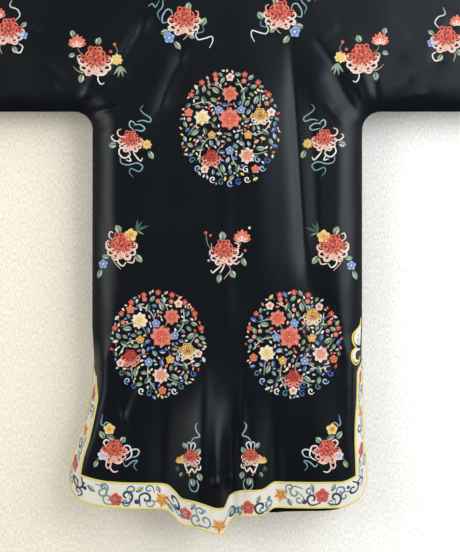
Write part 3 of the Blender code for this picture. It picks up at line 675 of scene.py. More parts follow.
HEM_SIDE = Spray(
    flowers=(
        Flower(CHRYSANTHEMUM, -0.5, -0.9, 26.7, CORAL, SALMON, PINK),
        Flower(BLOSSOM, -11.2, -51.3, 13.5, GOLD, PALE_GOLD, ORANGE),
        Flower(BLOSSOM, -26.9, 9.8, 11.6, PALE_BLUE, WHITE, PALE_BLUE),
    ),
    leaves=(
        Leaf(-27.9, -37.6, -125, 20.9, 13.9, SAGE), Leaf(-7.9, -32.5, 200, 22.1, 11.6, TEAL),
        Leaf(20.2, -26.7, -50, 16.3, 15.1, SAGE), Leaf(-42.7, 29.3, 115, 18.6, 11.6, SAGE),
    ),
    ribbons=(
        Ribbon(3.9, TEAL, PALE_TEAL, (
            (-26.9, -85.7), (-29.0, -75.0), (-30.9, -64.1), (-26.0, -59.0), (-19.0, -66.7), (-9.3, -64.1),
        )),
        Ribbon(3.9, WHITE, WHITE, (
            (20.0, -4.6), (24.6, -12.8), (34.8, -12.1), (40.0, 0.0), (39.0, 11.6), (26.2, 20.9),
        )),
        Ribbon(3.7, WHITE, PALE_TEAL, (
            (30.2, 6.5), (36.2, -1.2), (50.2, -5.1), (57.8, 0.0), (52.5, 10.7), (40.0, 13.7),
        )),
        Ribbon(3.7, PALE_TEAL, TEAL, (
            (22.3, 27.4), (28.1, 34.8), (42.0, 23.5), (53.7, 21.6), (45.5, 33.7), (52.5, 44.1),
        )),
        Ribbon(4.2, CREAM, WHITE, ((-17.2, -9.3), (-24.6, -19.7), (-18.4, -26.7), (-10.2, -22.1))),
        Ribbon(3.7, CREAM, PINK, ((-14.9, 16.3), (-19.0, 32.5), (-12.5, 39.5), (-6.7, 25.6))),
        Ribbon(3.9, PINK, CREAM, ((-5.6, 25.6), (-8.8, 38.3), (-0.9, 47.6), (9.5, 45.5))),
        Ribbon(4.2, PINK, WHITE, ((-5.6, 22.1), (8.4, 27.9), (22.3, 22.1))),
        Ribbon(1.9, SAGE, SAGE, ((-40.4, 20.9), (-33.5, 11.6))),
    ),
)
HEM_MIDDLE = Spray(
    flowers=(
        Flower(CHRYSANTHEMUM, 2.3, -4.9, 19.0, CORAL, SALMON, CREAM),
        Flower(CUP, 27.4, 2.8, 10.2, ORANGE, GOLD, PALE_GOLD),
    ),
    leaves=(
        Leaf(17.2, -31.6, -60, 16.3, 10.5, SAGE), Leaf(-14.2, -19.3, -120, 18.6, 13.9, SAGE),
        Leaf(-17.9, 37.6, 110, 18.6, 13.9, SAGE), Leaf(-2.1, 51.1, 95, 18.6, 13.9, SAGE),
        Leaf(25.1, 35.8, 60, 13.9, 9.3, GREEN),
    ),
    ribbons=(
        Ribbon(3.7, PALE_TEAL, PALE_TEAL, (
            (-13.0, -84.8), (-8.1, -78.1), (-10.7, -66.4), (-17.9, -54.6), (-4.6, -50.2), (2.8, -40.0),
        )),
        Ribbon(3.3, WHITE, WHITE, ((-3.5, -22.3), (-8.1, -33.9), (-2.3, -39.7), (2.3, -29.3))),
        Ribbon(3.3, WHITE, PALE_TEAL, ((2.3, -23.5), (3.5, -38.6), (10.5, -37.4), (9.3, -23.5))),
        Ribbon(3.7, CREAM, WHITE, ((-9.3, 21.8), (-19.0, 19.5), (-19.5, 11.4))),
        Ribbon(4.2, CREAM, CREAM, (
            (-13.9, 12.5), (-7.0, 28.8), (0.0, 19.5), (7.0, 31.1), (13.9, 19.5), (18.6, 7.9),
        )),
        Ribbon(3.7, PALE_TEAL, TEAL, (
            (-10.5, 45.1), (-14.9, 56.7), (-10.5, 70.6), (0.0, 70.6), (6.0, 59.0), (4.2, 42.7),
        )),
    ),
    buds=(
        Bud(5.8, 35.8, 4.2, SALMON), Bud(11.6, 30.0, 3.7, CORAL),
    ),
    tufts=(
        Tuft(32.5, 17.2, 70, 13.9, GREEN, 3),
    ),
)
# Columns: name, plan, panel, x, down, turned over.
SPRAY_PLACES = (
    SprayPlace("shoulder_left", SHOULDER, "back", -0.101, 0.123, False),
    SprayPlace("shoulder_right", SHOULDER, "back", 0.122, 0.1089, True),
    SprayPlace("upper_sleeve_left", UPPER_SLEEVE, "back", -0.3066, 0.2132, False),
    SprayPlace("upper_sleeve_right", UPPER_SLEEVE, "back", 0.3116, 0.2076, True),
    SprayPlace("lower_sleeve_left", LOWER_SLEEVE, "sleeve_left", -0.5075, 0.1449, True),
    SprayPlace("lower_sleeve_right", LOWER_SLEEVE, "sleeve_right", 0.5076, 0.1635, False),
    SprayPlace("chest_left", CHEST, "back", -0.2264, 0.3992, False),
    SprayPlace("chest_right", CHEST, "back", 0.2262, 0.3965, True),
    SprayPlace("waist_left", WAIST_SIDE, "back", -0.2455, 0.6466, False),
    SprayPlace("waist_right", WAIST_SIDE, "back", 0.2444, 0.6501, True),
    SprayPlace("waist_middle", WAIST_MIDDLE, "back", -0.0127, 0.6652, False),
    SprayPlace("hem_left", HEM_SIDE, "back", -0.2627, 1.1228, False),
    SprayPlace("hem_right", HEM_SIDE, "back", 0.2312, 1.123, True),
    SprayPlace("hem_inner_right", HEM_MIDDLE, "back", 0.0523, 1.1405, False),
    SprayPlace("hem_inner_left", HEM_MIDDLE, "back", -0.0813, 1.1405, True),
)
BACK_HEM_PLAN = Spray(
    flowers=(
        Flower(BLOSSOM, -258.9, 10.2, 15.8, DEEP_RED, CORAL, ASH),
        Flower(STAR, -152.1, 7.4, 18.6, BROWN, ORANGE, GOLD),
        Flower(BLOSSOM, -96.3, 2.9, 15.0, DEEP_RED, CORAL, ASH),
        Flower(STAR, -19.7, 9.9, 16.1, BROWN, ORANGE, GOLD),
        Flower(BLOSSOM, 10.5, 11.6, 9.3, PALE_TEAL, TEAL, GOLD),
        Flower(BLOSSOM, 47.7, 9.9, 16.1, DEEP_RED, CORAL, ASH),
        Flower(STAR, 124.3, -0.5, 17.5, BROWN, ORANGE, GOLD),
        Flower(BLOSSOM, 219.6, 1.5, 17.1, DEEP_RED, CORAL, ASH),
    ),
    leaves=(
        Leaf(-315.8, -5.7, 30, 21.9, 12.8, ASH), Leaf(-203.2, -14.5, -35, 21.9, 12.8, SAGE),
        Leaf(-161.4, -16.3, -120, 19.5, 11.6, SAGE), Leaf(-131.2, 17.0, 30, 19.5, 11.6, ASH),
        Leaf(-77.7, -17.0, -60, 19.5, 11.6, SAGE), Leaf(29.1, 17.0, 60, 19.5, 11.6, ASH),
        Leaf(70.9, -8.8, -70, 19.5, 11.6, SAGE), Leaf(145.2, 17.0, 60, 19.5, 11.6, ASH),
        Leaf(196.4, -17.0, -100, 19.5, 11.6, SAGE), Leaf(245.1, -17.0, -60, 19.5, 11.6, ASH),
    ),
    buds=(
        Bud(-331.0, -3.0, 9.0, NAVY), Bud(-210.2, 13.6, 11.6, NAVY), Bud(177.8, 15.1, 11.6, NAVY),
        Bud(94.1, -0.5, 9.3, TEAL), Bud(280.0, -12.0, 8.0, NAVY), Bud(-334.0, -13.0, 6.5, NAVY),
        Bud(-52.2, -15.2, 8.4, PALE_TEAL),
    ),
    curls=(
        Curl(-350.0, -9.0, 14.5, 100, 1, INK), Curl(-346.0, 10.0, 9.5, -60, -1, INK),
        Curl(-291.5, -3.7, 14.8, 20, 1, ASH), Curl(-277.5, 9.8, 12.5, 200, 1, ASH),
        Curl(-286.8, -15.2, 10.8, -80, -1, TEAL), Curl(-233.4, 0.7, 16.6, -10, -1, INK),
        Curl(-221.8, -13.7, 10.8, -100, 1, TEAL), Curl(-235.7, 15.2, 10.8, 100, 1, TEAL),
        Curl(-189.2, 5.8, 15.5, -80, 1, INK), Curl(-177.6, 15.2, 10.8, 60, -1, ASH),
        Curl(-182.3, -15.4, 10.1, -120, -1, TEAL), Curl(-121.9, -7.2, 15.5, 10, -1, INK),
        Curl(-114.9, 5.0, 10.8, 120, 1, TEAL), Curl(-70.8, 10.3, 14.3, 190, 1, ASH),
        Curl(-49.9, 7.5, 14.3, -10, -1, ASH), Curl(-61.5, -10.6, 10.1, -90, 1, TEAL),
        Curl(8.2, 12.9, 13.1, 0, 1, INK), Curl(24.5, 15.2, 10.8, -60, -1, TEAL),
        Curl(75.6, 10.0, 16.0, 170, 1, INK), Curl(91.8, 12.4, 12.5, 0, -1, ASH),
        Curl(80.2, 15.9, 10.1, 90, 1, TEAL), Curl(156.9, -6.0, 14.3, 180, -1, ASH),
        Curl(166.2, 10.4, 11.3, 60, 1, ASH), Curl(145.2, -16.5, 9.5, -90, 1, TEAL),
        Curl(196.4, 8.4, 14.8, 180, 1, INK), Curl(189.4, -8.0, 10.1, -110, -1, TEAL),
        Curl(249.8, 6.2, 16.0, -10, -1, INK), Curl(263.7, -8.8, 11.3, -60, 1, TEAL),
        Curl(240.5, 16.5, 9.5, 100, 1, ASH), Curl(291.0, -3.0, 13.0, 60, 1, INK),
        Curl(271.0, 4.5, 10.0, 180, -1, TEAL), Curl(305.0, -9.0, 9.0, -80, -1, INK),
    ),
)
CLOUD_HEAD_BACK = Spray(
    ribbons=(
        Ribbon(12.0, WHITE, CREAM, (
            (310.0, 832.0), (305.5, 846.0), (299.5, 857.0), (299.5, 868.0), (305.0, 877.0),
        )),
        Ribbon(10.0, WHITE, WHITE, ((309.0, 842.0), (306.5, 858.0), (307.5, 878.0))),
        Ribbon(8.5, WHITE, CREAM, (
            (309.0, 888.0), (301.0, 888.5), (294.5, 896.0), (294.0, 907.0), (299.0, 915.5), (304.5, 913.0),
        )),
        Ribbon(4.4, YELLOW, YELLOW, (
            (311.6, 813.9), (309.2, 832.0), (300.0, 843.0), (292.0, 852.5), (290.8, 866.0), (296.0, 879.0),
            (299.0, 884.5), (291.0, 891.0), (288.0, 903.0), (291.0, 916.5), (299.6, 923.3), (307.3, 915.7),
            (309.2, 903.8),
        )),
        Ribbon(3.4, BLUE, BLUE, ((301.5, 850.0), (306.5, 859.0), (303.0, 868.0), (306.5, 876.0))),
        Ribbon(2.8, TEAL, TEAL, ((309.5, 846.0), (305.0, 856.0), (309.0, 868.0), (302.0, 880.0))),
    ),
)
CLOUD_HEAD_FRONT = Spray(
    ribbons=(
        Ribbon(15.0, WHITE, WHITE, ((-2.0, -4.0), (-12.0, 6.0), (-27.0, 9.0), (-40.0, 20.0), (-41.0, 35.0))),
        Ribbon(15.0, CREAM, WHITE, ((-40.0, 30.0), (-36.0, 44.0), (-23.0, 45.0), (-19.0, 35.0))),
        Ribbon(14.0, WHITE, CREAM, ((-8.0, 8.0), (-10.0, 26.0), (-8.0, 50.0), (-10.0, 70.0))),
        Ribbon(4.0, YELLOW, YELLOW, (
            (-1.0, -14.0), (-12.0, -3.0), (-28.0, 0.0), (-46.0, 13.0), (-50.0, 32.0), (-44.0, 50.0),
            (-26.0, 55.0), (-14.0, 46.0),
        )),
        Ribbon(3.0, BLUE, NAVY, ((-20.0, 8.0), (-33.0, 16.0), (-40.0, 28.0), (-36.0, 40.0), (-26.0, 42.0))),
    ),
    curls=(
        Curl(-30.0, 30.0, 8.0, 200, 1, BLUE), Curl(-8.0, 34.0, 6.0, 90, -1, TEAL),
    ),
)
FRONT_BAND_START = BandStart(row=18, inner=18.60, outer=18.20)
BAND_STARTS = {
    (Face.BACK, -1): BandStart(row=19, inner=19.30, outer=18.95),
    (Face.BACK, 1): BandStart(row=19, inner=19.08, outer=18.65),
    (Face.FRONT, -1): FRONT_BAND_START,
    (Face.FRONT, 1): FRONT_BAND_START,
}
SLIT_FLOWERS = {
    (Face.BACK, -1): (SlitFlower(0.993, CORAL), SlitFlower(1.077, ORANGE), SlitFlower(1.155, CORAL)),
    (Face.BACK, 1): (SlitFlower(0.952, CORAL), SlitFlower(1.033, ORANGE), SlitFlower(1.122, CORAL)),
    (Face.FRONT, -1): (SlitFlower(0.945, ORANGE), SlitFlower(1.03, CORAL), SlitFlower(1.115, ORANGE)),
    (Face.FRONT, 1): (SlitFlower(0.945, CORAL), SlitFlower(1.03, ORANGE), SlitFlower(1.115, CORAL)),
}
FILL_DYES = (
    (CORAL, SALMON),
    (DEEP_RED, CORAL),
    (SALMON, PINK),
    (PINK, CREAM),
    (CREAM, WHITE),
    (CORAL, CREAM),
    (GOLD, PALE_GOLD),
    (BLUE, PALE_BLUE),
    (SAGE, PALE_SAGE),
    (PALE_TEAL, WHITE),
)


def ease(low: float, high: float, value: Array) -> Array:
    """Rise smoothly from 0 to 1.

    Args:
        low: Value where the rise starts.
        high: Value where it ends.
        value: Values to read it at.

    Returns:
        The share risen at each value.
    """
    share = np.clip((np.asarray(value, dtype=float) - low) / (high - low), 0.0, 1.0)
    return share * share * (3.0 - 2.0 * share)


def read_table(rows: Sequence[NamedTuple], place: str, name: str, at: Array) -> Array:
    """Read one field of a table on a curve that never overshoots its rows.

    Args:
        rows: Rows of the table, in order.
        place: Field that holds the rows' places.
        name: Field to read.
        at: Places to read it at.

    Returns:
        The field's value at each place.
    """
    places = np.array([getattr(row, place) for row in rows])
    values = np.array([getattr(row, name) for row in rows])
    steps = np.diff(places)
    rises = np.diff(values) / steps
    product = rises[:-1] * rises[1:]
    total = np.where(product > 0.0, rises[:-1] + rises[1:], 1.0)
    slopes = np.zeros(len(places))
    slopes[1:-1] = np.where(product > 0.0, 2.0 * product / total, 0.0)
    at = np.clip(np.asarray(at, dtype=float), places[0], places[-1])
    k = np.clip(np.searchsorted(places, at, side="right") - 1, 0, len(places) - 2)
    u = (at - places[k]) / steps[k]
    start = values[k] * (1 + 2 * u) * (1 - u) ** 2 + steps[k] * slopes[k] * u * (1 - u) ** 2
    end = values[k + 1] * u * u * (3 - 2 * u) + steps[k] * slopes[k + 1] * u * u * (u - 1)
    return start + end


@dataclass(frozen=True)
class RobeForm:
    """Form of the hanging cloth: sizes in metres, and where each point of it lies."""

    cloth: float = 0.0018
    band: float = 0.0010
    piping: float = 0.0012
    seam_gap: float = 0.0003
    chest_half: float = 0.315
    extension_seam: float = 0.423
    cuff: float = 0.660
    sleeve_bottom: float = 0.3285
    armpit_radius: float = 0.045
    back_neck_drop: float = 0.010
    front_neck_drop: float = 0.068
    neck_row_step: float = 0.003
    seam_round: float = 0.060
    lap_width: float = 0.018
    slope_step: float = 0.0005

    @property
    def arc(self) -> float:
        """Length of cloth from the top of the rod to its side."""
        return FOLD_RADIUS * math.pi / 2

    @property
    def band_top(self) -> float:
        """Height of the band's outside above the cloth's inside."""
        return self.cloth + self.seam_gap + self.band

    def side_at(self, down: Array, x: Array) -> Array:
        """Half width of the robe at a height, on the side where x lies."""
        left = read_table(SIDE_OUTLINE, "down", "left", down)
        right = read_table(SIDE_OUTLINE, "down", "right", down)
        half = np.where(np.asarray(x) < 0.0, left, right)
        return np.where(np.asarray(down) < SIDE_OUTLINE[0].down, self.chest_half, half)

    def edge_distance(self, x: Array, down: Array) -> Array:
        """How far a point lies from the side seam or from the sleeve's lower seam."""
        corner_x = self.chest_half + self.armpit_radius
        corner_down = self.sleeve_bottom + self.armpit_radius
        in_corner = np.hypot(corner_x - np.abs(x), corner_down - down) - self.armpit_radius
        sleeve = np.where(np.abs(x) >= corner_x, self.sleeve_bottom - down, in_corner)
        return np.where(down >= corner_down, self.side_at(down, x) - np.abs(x), sleeve)

    def fold_height(self, x: Array, down: Array, folds: Sequence[Fold]) -> Array:
        """Sum of some folds at a point, outward."""
        total = np.zeros(np.broadcast(x, down).shape)
        for fold in folds:
            run_x = fold.x2 - fold.x1
            run_down = fold.down2 - fold.down1
            length = math.hypot(run_x, run_down)
            along = ((x - fold.x1) * run_x + (down - fold.down1) * run_down) / length
            away = ((x - fold.x1) * run_down - (down - fold.down1) * run_x) / length
            fade = ease(0.0, length * 0.35, along) * ease(0.0, length * 0.25, length - along)
            total = total + fold.height * fade * np.exp(-((away / fold.width) ** 2))
        return total

    def ripple(self, x: Array, down: Array, face: Face) -> Array:
        """Faint unevenness of hanging satin, under a millimetre."""
        turn = face.value
        slow = np.sin(31.0 * x + 9.0 * down + turn) * np.sin(13.0 * down - 7.0 * x)
        quick = np.sin(67.0 * x - 17.0 * down + 2.0 * turn) * np.sin(29.0 * down + 11.0 * x)
        return 0.0007 * slow + 0.00012 * quick

    def depth_at(self, x: Array, down: Array, face: Face) -> Array:
        """Distance of the cloth's inside from the middle plane of the robe.

        Args:
            x: Places across the robe.
            down: Distances below the rod's axis.
            face: Side of the robe.

        Returns:
            The distance at each point.
        """
        to_sleeve = ease(0.27, 0.40, np.abs(x))
        body = read_table(DEPTHS, "down", "body", down)
        full = body + (read_table(DEPTHS, "down", "sleeve", down) - body) * to_sleeve
        name = face.name.lower()
        edge = read_table(SLIT_EDGE, "down", name, down)
        reach = self.seam_round
        if face is Face.BACK:
            reach = read_table(SLIT_SHOW, "down", "round", down)
        near = np.clip(self.edge_distance(x, down) / reach, 0.0, 1.0)
        rounding = 1.0 - (1.0 - near) ** 2
        waves = self.fold_height(x, down, MAIN_FOLDS[face] + CREASES[face])
        waves = (waves + self.ripple(x, down, face)) * ease(0.0, 0.10, down)
        return edge + (full - edge + waves) * rounding

    def outward(self, x: Array, down: Array, face: Face) -> Array:
        """Outward directions of the cloth below the rod's axis.

        Args:
            x: Places across the robe.
            down: Distances below the rod's axis.
            face: Side of the robe.

        Returns:
            Unit vectors, one for each point.
        """
        step = self.slope_step
        across = self.depth_at(x + step, down, face) - self.depth_at(x - step, down, face)
        along = self.depth_at(x, down + step, face) - self.depth_at(x, down - step, face)
        slopes = np.stack([across, along]) / (2.0 * step)
        normal = np.stack([-slopes[0], np.full_like(slopes[0], face.value), slopes[1]], axis=-1)
        normal /= np.linalg.norm(normal, axis=-1, keepdims=True)
        corner_x = self.chest_half + self.armpit_radius
        corner_down = self.sleeve_bottom + self.armpit_radius
        to_x = np.where(np.abs(x) >= corner_x, 0.0, corner_x - np.abs(x))
        to_x = np.where(down >= corner_down, 1.0, to_x)
        to_down = np.where(down >= corner_down, 0.0, corner_down - down)
        seam = np.stack([np.sign(x) * to_x, np.zeros_like(to_x), -to_down], axis=-1)
        seam /= np.maximum(np.linalg.norm(seam, axis=-1, keepdims=True), TINY)
        distance = self.edge_distance(x, down)
        share = ease(0.010, 0.0, distance) * (down <= SLIT_TOP + 1e-6)
        normal = normal * (1.0 - share[..., None]) + seam * share[..., None]
        return normal / np.linalg.norm(normal, axis=-1, keepdims=True)

    def place(self, x: Array, down: Array, lift: Array, face: Face) -> Array:
        """Points of the robe's outside or just above it.

        Args:
            x: Places across the robe.
            down: Distances below the rod's axis.
            lift: Heights above the cloth's inside, along its outward direction.
            face: Side of the robe.

        Returns:
            Points in metres, one for each place.
        """
        x, down, lift = np.broadcast_arrays(x, down, lift)
        inside = np.stack([x, face.value * self.depth_at(x, down, face), -down], axis=-1)
        return inside + self.outward(x, down, face) * lift[..., None]


FORM = RobeForm()
SLEEVE_ROWS = tuple(FORM.arc * third / 3 for third in range(4)) + tuple(
    FORM.arc + drop for drop in (0.045, 0.110, 0.180, 0.250, 0.295, FORM.sleeve_bottom)
)
BODY_ROWS = (
    FORM.sleeve_bottom + FORM.armpit_radius / 2,
    FORM.sleeve_bottom + FORM.armpit_radius,
    0.45,
    0.54,
    0.63,
    0.72,
    0.79,
    SLIT_TOP,
)
SLIT_SHARES = (0.12, 0.27, 0.43, 0.61, 0.80)
HEM_STEPS = (BAND_WIDTH, BAND_WIDTH - PIPING_WIDTH, BAND_WIDTH / 2, PIPING_WIDTH, 0.0)
EXTENSION_COLUMNS = (FORM.cuff, 0.580, 0.500, FORM.extension_seam)
UPPER_SLEEVE_COLUMNS = (
    0.390,
    FORM.chest_half + FORM.armpit_radius,
    FORM.chest_half + FORM.armpit_radius / 2,
)


class Row:
    """Rows of the panel grid that have a name."""

    FOLD_END = 3
    LAP = 5
    CLOSING = 6
    ARMPIT = 9
    SLIT = 17
    BAND = 23
    HEM = 27


class Col:
    """Columns of the panel grid that have a name."""

    SEAM_LEFT = 3
    SIDE_LEFT = 7
    BAND_LEFT = 11
    NECK_LEFT = 15
    MIDDLE = 20
    NECK_RIGHT = 25
    BAND_RIGHT = 29
    SIDE_RIGHT = 33
    SEAM_RIGHT = 37
    LAST = 40


def from_cuff(column: Array) -> Array:
    """Columns counted in from the nearer cuff."""
    return np.minimum(column, Col.LAST - column)


def grid_quads(rows: int, columns: int) -> Array:
    """Faces between the points of a grid, by row and column."""
    ids = np.arange(rows * columns).reshape(rows, columns)
    return np.stack([ids[:-1, :-1], ids[:-1, 1:], ids[1:, 1:], ids[1:, :-1]], axis=-1)


Mask = Callable[[Array, Array], Array]
Lift = Callable[[Array, Array], Array]


@dataclass
class PanelGrid:
    """Grid of one face of the robe, read at fractions of the solids' columns and rows."""

    face: Face
    step: float = 0.0058

    def column_places(self, down: Array) -> Array:
        """Place across of each whole column, at some heights.

        Args:
            down: Distances below the rod's axis.

        Returns:
            One array like down for each column.
        """
        down = np.asarray(down, dtype=float)
        turning = ease(SLIT_TOP - 0.06, 0.93, down)
        places = [np.zeros_like(down)] * (Col.LAST + 1)
        for sign in (-1.0, 1.0):
            run = [sign * x + 0.0 * down for x in EXTENSION_COLUMNS + UPPER_SLEEVE_COLUMNS]
            half = FORM.side_at(down, np.full_like(down, sign))
            for row in EDGE_STEPS:
                at_slit = self.slit_step(row, sign, down)
                run.append(sign * (half - row.seam - (at_slit - row.seam) * turning))
            for number, values in enumerate(run):
                places[number if sign < 0.0 else Col.LAST - number] = values
        falling = ease(0.35, 1.15, down)
        for number, row in enumerate(MIDDLE_COLUMNS):
            places[Col.BAND_LEFT + 1 + number] = row.shoulder + (row.hem - row.shoulder) * falling
        return np.stack(places)

    def slit_step(self, row: EdgeStep, sign: float, down: Array) -> Array:
        """Step in from this face's slit edge to a column."""
        if self.face is Face.FRONT:
            return row.front_slit + 0.0 * down
        show = read_table(SLIT_SHOW, "down", "left" if sign < 0.0 else "right", down)
        if row.back_share is None:
            return show - np.minimum(INNER_CORD_SHOW, INNER_CORD_SHARE * show)
        return show * row.back_share

    def column_x(self, column: Array, down: Array) -> Array:
        """Place across of fractional columns, each at its own height."""
        column, down = np.broadcast_arrays(column, down)
        places = self.column_places(down)
        low = np.clip(np.floor(column).astype(int), 0, Col.LAST - 1)
        first = np.take_along_axis(places, low[None], axis=0)[0]
        second = np.take_along_axis(places, low[None] + 1, axis=0)[0]
        return first + (second - first) * (column - low)

    def neck_start(self, x: Array) -> Array:
        """Length along the cloth from the fold's top to the neck's edge."""
        inside = np.clip(1.0 - (x / NECK_HALF) ** 2, 0.0, 1.0)
        if self.face is Face.BACK:
            return FORM.back_neck_drop * np.sqrt(inside)
        deep = np.sqrt(np.clip(1.0 - (x / NECK_FRONT_HALF) ** 2, 0.0, 1.0))
        slope = (NECK_HALF - np.abs(x)) / (NECK_HALF - NECK_FRONT_HALF)
        shoulder = FORM.arc * np.clip(slope, 0.0, 1.0)
        front = np.where(np.abs(x) < NECK_FRONT_HALF, FORM.arc + FORM.front_neck_drop * deep, shoulder)
        return np.where(np.abs(x) >= NECK_HALF, 0.0, front)

    def upper_length(self, row: int, x: Array) -> Array:
        """Length from the fold's top to a row above the armpit, at some places."""
        length = np.full_like(x, SLEEVE_ROWS[row])
        if self.face is Face.FRONT:
            closing = FORM.arc + read_table(CLOSING_EDGE, "x", "down", x)
            share = ease(-NECK_HALF, 0.0, x)
            share = share * (1.0 - ease(FORM.chest_half, FORM.extension_seam, x))
            marks = [
                (Row.FOLD_END, SLEEVE_ROWS[Row.FOLD_END] + 0.0 * x),
                (Row.LAP, closing - FORM.lap_width),
                (Row.CLOSING, closing),
                (Row.ARMPIT, SLEEVE_ROWS[Row.ARMPIT] + 0.0 * x),
            ]
            for (first, start), (last, end) in zip(marks, marks[1:]):
                if first <= row <= last:
                    span = SLEEVE_ROWS[last] - SLEEVE_ROWS[first]
                    part = (SLEEVE_ROWS[row] - SLEEVE_ROWS[first]) / span
                    moved = start + (end - start) * part
                    length = SLEEVE_ROWS[row] + (moved - SLEEVE_ROWS[row]) * share
                    break
        start = self.neck_start(x)
        limit = start + row * FORM.neck_row_step
        return np.where(start > 0.0, np.maximum(length, limit), length)

    def row_lengths(self, columns: Array) -> Array:
        """Length from the fold's top to each whole row, at some columns.

        Args:
            columns: Fractional columns.

        Returns:
            One array like columns for each row.
        """
        top = self.column_x(columns, np.zeros_like(columns))
        low = self.column_x(columns, np.full_like(columns, SIDE_OUTLINE[-1].down))
        hem = read_table(HEM, "x", self.face.name.lower(), low)
        lengths = [self.upper_length(row, top) for row in range(Row.ARMPIT + 1)]
        lengths += [np.full_like(top, FORM.arc + drop) for drop in BODY_ROWS]
        open_part = hem - BAND_WIDTH - SLIT_TOP
        lengths += [FORM.arc + SLIT_TOP + open_part * share for share in SLIT_SHARES]
        lengths += [FORM.arc + hem - step for step in HEM_STEPS]
        return np.stack(lengths)

    def marks(self, whole: int, sizes: Array, forced: dict[int, int]) -> Array:
        """Fractional places that split each step of the grid into even parts.

        Args:
            whole: Number of whole steps.
            sizes: Length of each step.
            forced: Number of parts for steps that need their own.

        Returns:
            The places, from 0 to the number of steps.
        """
        places = [0.0]
        for step in range(whole):
            parts = forced.get(step, max(1, math.ceil(sizes[step] / self.step)))
            places += [step + (part + 1) / parts for part in range(parts)]
        return np.array(places)

    def read(self, columns: Array, rows: Array) -> tuple[Array, Array, Array]:
        """Place across, drop and length along the cloth at fractional grid points.

        Args:
            columns: Fractional columns.
            rows: Fractional rows, of the same shape.

        Returns:
            x, down and length at each point.
        """
        whole = self.row_lengths(columns)
        low = np.clip(np.floor(rows).astype(int), 0, Row.HEM - 1)
        first = np.take_along_axis(whole, low[None], axis=0)[0]
        second = np.take_along_axis(whole, low[None] + 1, axis=0)[0]
        length = first + (second - first) * (rows - low)
        down = np.maximum(length - FORM.arc, 0.0)
        x = self.column_x(columns, down)
        x, down = self.round_armpit(x, down, columns, rows)
        return x, down, length

    def round_armpit(self, x: Array, down: Array, columns: Array, row: Array) -> tuple[Array, Array]:
        """Bring the square armpit corner onto its rounded outline."""
        radius = FORM.armpit_radius
        out = from_cuff(columns)
        beside = np.abs(x) - FORM.chest_half
        below = down - FORM.sleeve_bottom
        above_armpit = (row > Row.ARMPIT - 1) & (row <= Row.ARMPIT)
        near_side = (out > Col.SIDE_LEFT) & (out < Col.SIDE_LEFT + 1)
        fading = np.clip(Col.SIDE_LEFT + 1 - out, 0.0, 1.0)
        turn = math.radians(45.0) * (1.0 - np.clip(beside / radius, 0.0, 1.0))
        turn = np.where(out > Col.SIDE_LEFT, math.radians(45.0), turn)
        on_sleeve = (out <= Col.SIDE_LEFT) & above_armpit & (beside <= radius)
        weight = np.where(on_sleeve, row - (Row.ARMPIT - 1), 0.0)
        weight = np.where(near_side & above_armpit, (row - (Row.ARMPIT - 1)) * fading, weight)
        start_x = np.maximum(np.abs(x), FORM.chest_half)
        move_x = (FORM.chest_half + radius * (1.0 - np.sin(turn)) - start_x) * weight
        move_down = radius * (1.0 - np.cos(turn)) * weight
        lower = (row > Row.ARMPIT) & (below <= radius) & (out >= Col.SIDE_LEFT)
        lower &= out < Col.SIDE_LEFT + 1
        swing = math.radians(45.0) * (1.0 - np.clip(below / radius, 0.0, 1.0))
        low_x = radius * (1.0 - np.cos(swing)) * fading
        low_down = (FORM.sleeve_bottom + radius * (1.0 - np.sin(swing)) - down) * fading
        move_x = np.where(lower, low_x, move_x)
        move_down = np.where(lower, low_down, move_down)
        return x + np.sign(x) * move_x, down + move_down

    def points(self, columns: Array, rows: Array, lift: Array) -> Array:
        """Points above the cloth's inside at fractional grid points.

        Args:
            columns: Fractional columns.
            rows: Fractional rows, of the same shape.
            lift: Height at each grid point.

        Returns:
            The points, one for each place.
        """
        x, down, length = self.read(columns, rows)
        hanging = FORM.place(x, down, lift, self.face)
        turn = math.pi / 2 - np.minimum(length, FORM.arc) / FOLD_RADIUS
        radius = FOLD_RADIUS + lift
        y = np.maximum(radius * np.cos(turn), EDGE_DEPTH)
        over = np.stack([x, self.face.value * y, radius * np.sin(turn)], axis=-1)
        return np.where((length < FORM.arc - TINY)[..., None], over, hanging)


@dataclass
class SheetMesh:
    """Points and faces of one sheet, with a thread direction for its material."""

    points: Array
    faces: Array
    uv: Array

    def to_object(self, name: str, thickness: float, merge: bool = False) -> Item:
        """Make the sheet a closed object with a wall.

        Args:
            name: Name of the piece.
            thickness: Thickness of the wall, grown inward.
            merge: Whether points that meet are joined first.

        Returns:
            The finished object.
        """
        item = make_item(name, self.points, self.faces.tolist(), self.uv)
        if merge:
            edit_all(bpy.ops.mesh.remove_doubles, threshold=MERGE_DISTANCE)
        wall = item.modifiers.new("wall", "SOLIDIFY")
        wall.thickness = thickness
        wall.offset = -1.0
        bpy.ops.object.modifier_apply(modifier=wall.name)
        bpy.ops.object.shade_smooth_by_angle(angle=math.radians(50.0))
        return item


def select_only(item: Item) -> None:
    """Deselect everything, then select one object and make it active."""
    bpy.ops.object.select_all(action="DESELECT")
    item.select_set(True)
    bpy.context.view_layer.objects.active = item


def make_item(name: str, points: Array, faces: Sequence[Sequence[int]], threads: Array) -> Item:
    """Make an object and select it.

    Args:
        name: Name of the piece.
        points: Its points.
        faces: Its faces.
        threads: Thread direction of each point, for its UV map.

    Returns:
        The object.
    """
    mesh = bpy.data.meshes.new(name)
    mesh.from_pydata(points.tolist(), [], faces)
    item = bpy.data.objects.new(name, mesh)
    bpy.context.scene.collection.objects.link(item)
    corners = np.empty(len(mesh.loops), dtype=np.int32)
    mesh.loops.foreach_get("vertex_index", corners)
    layer = mesh.uv_layers.new(name="threads")
    layer.data.foreach_set("uv", threads[corners].reshape(-1))
    select_only(item)
    return item


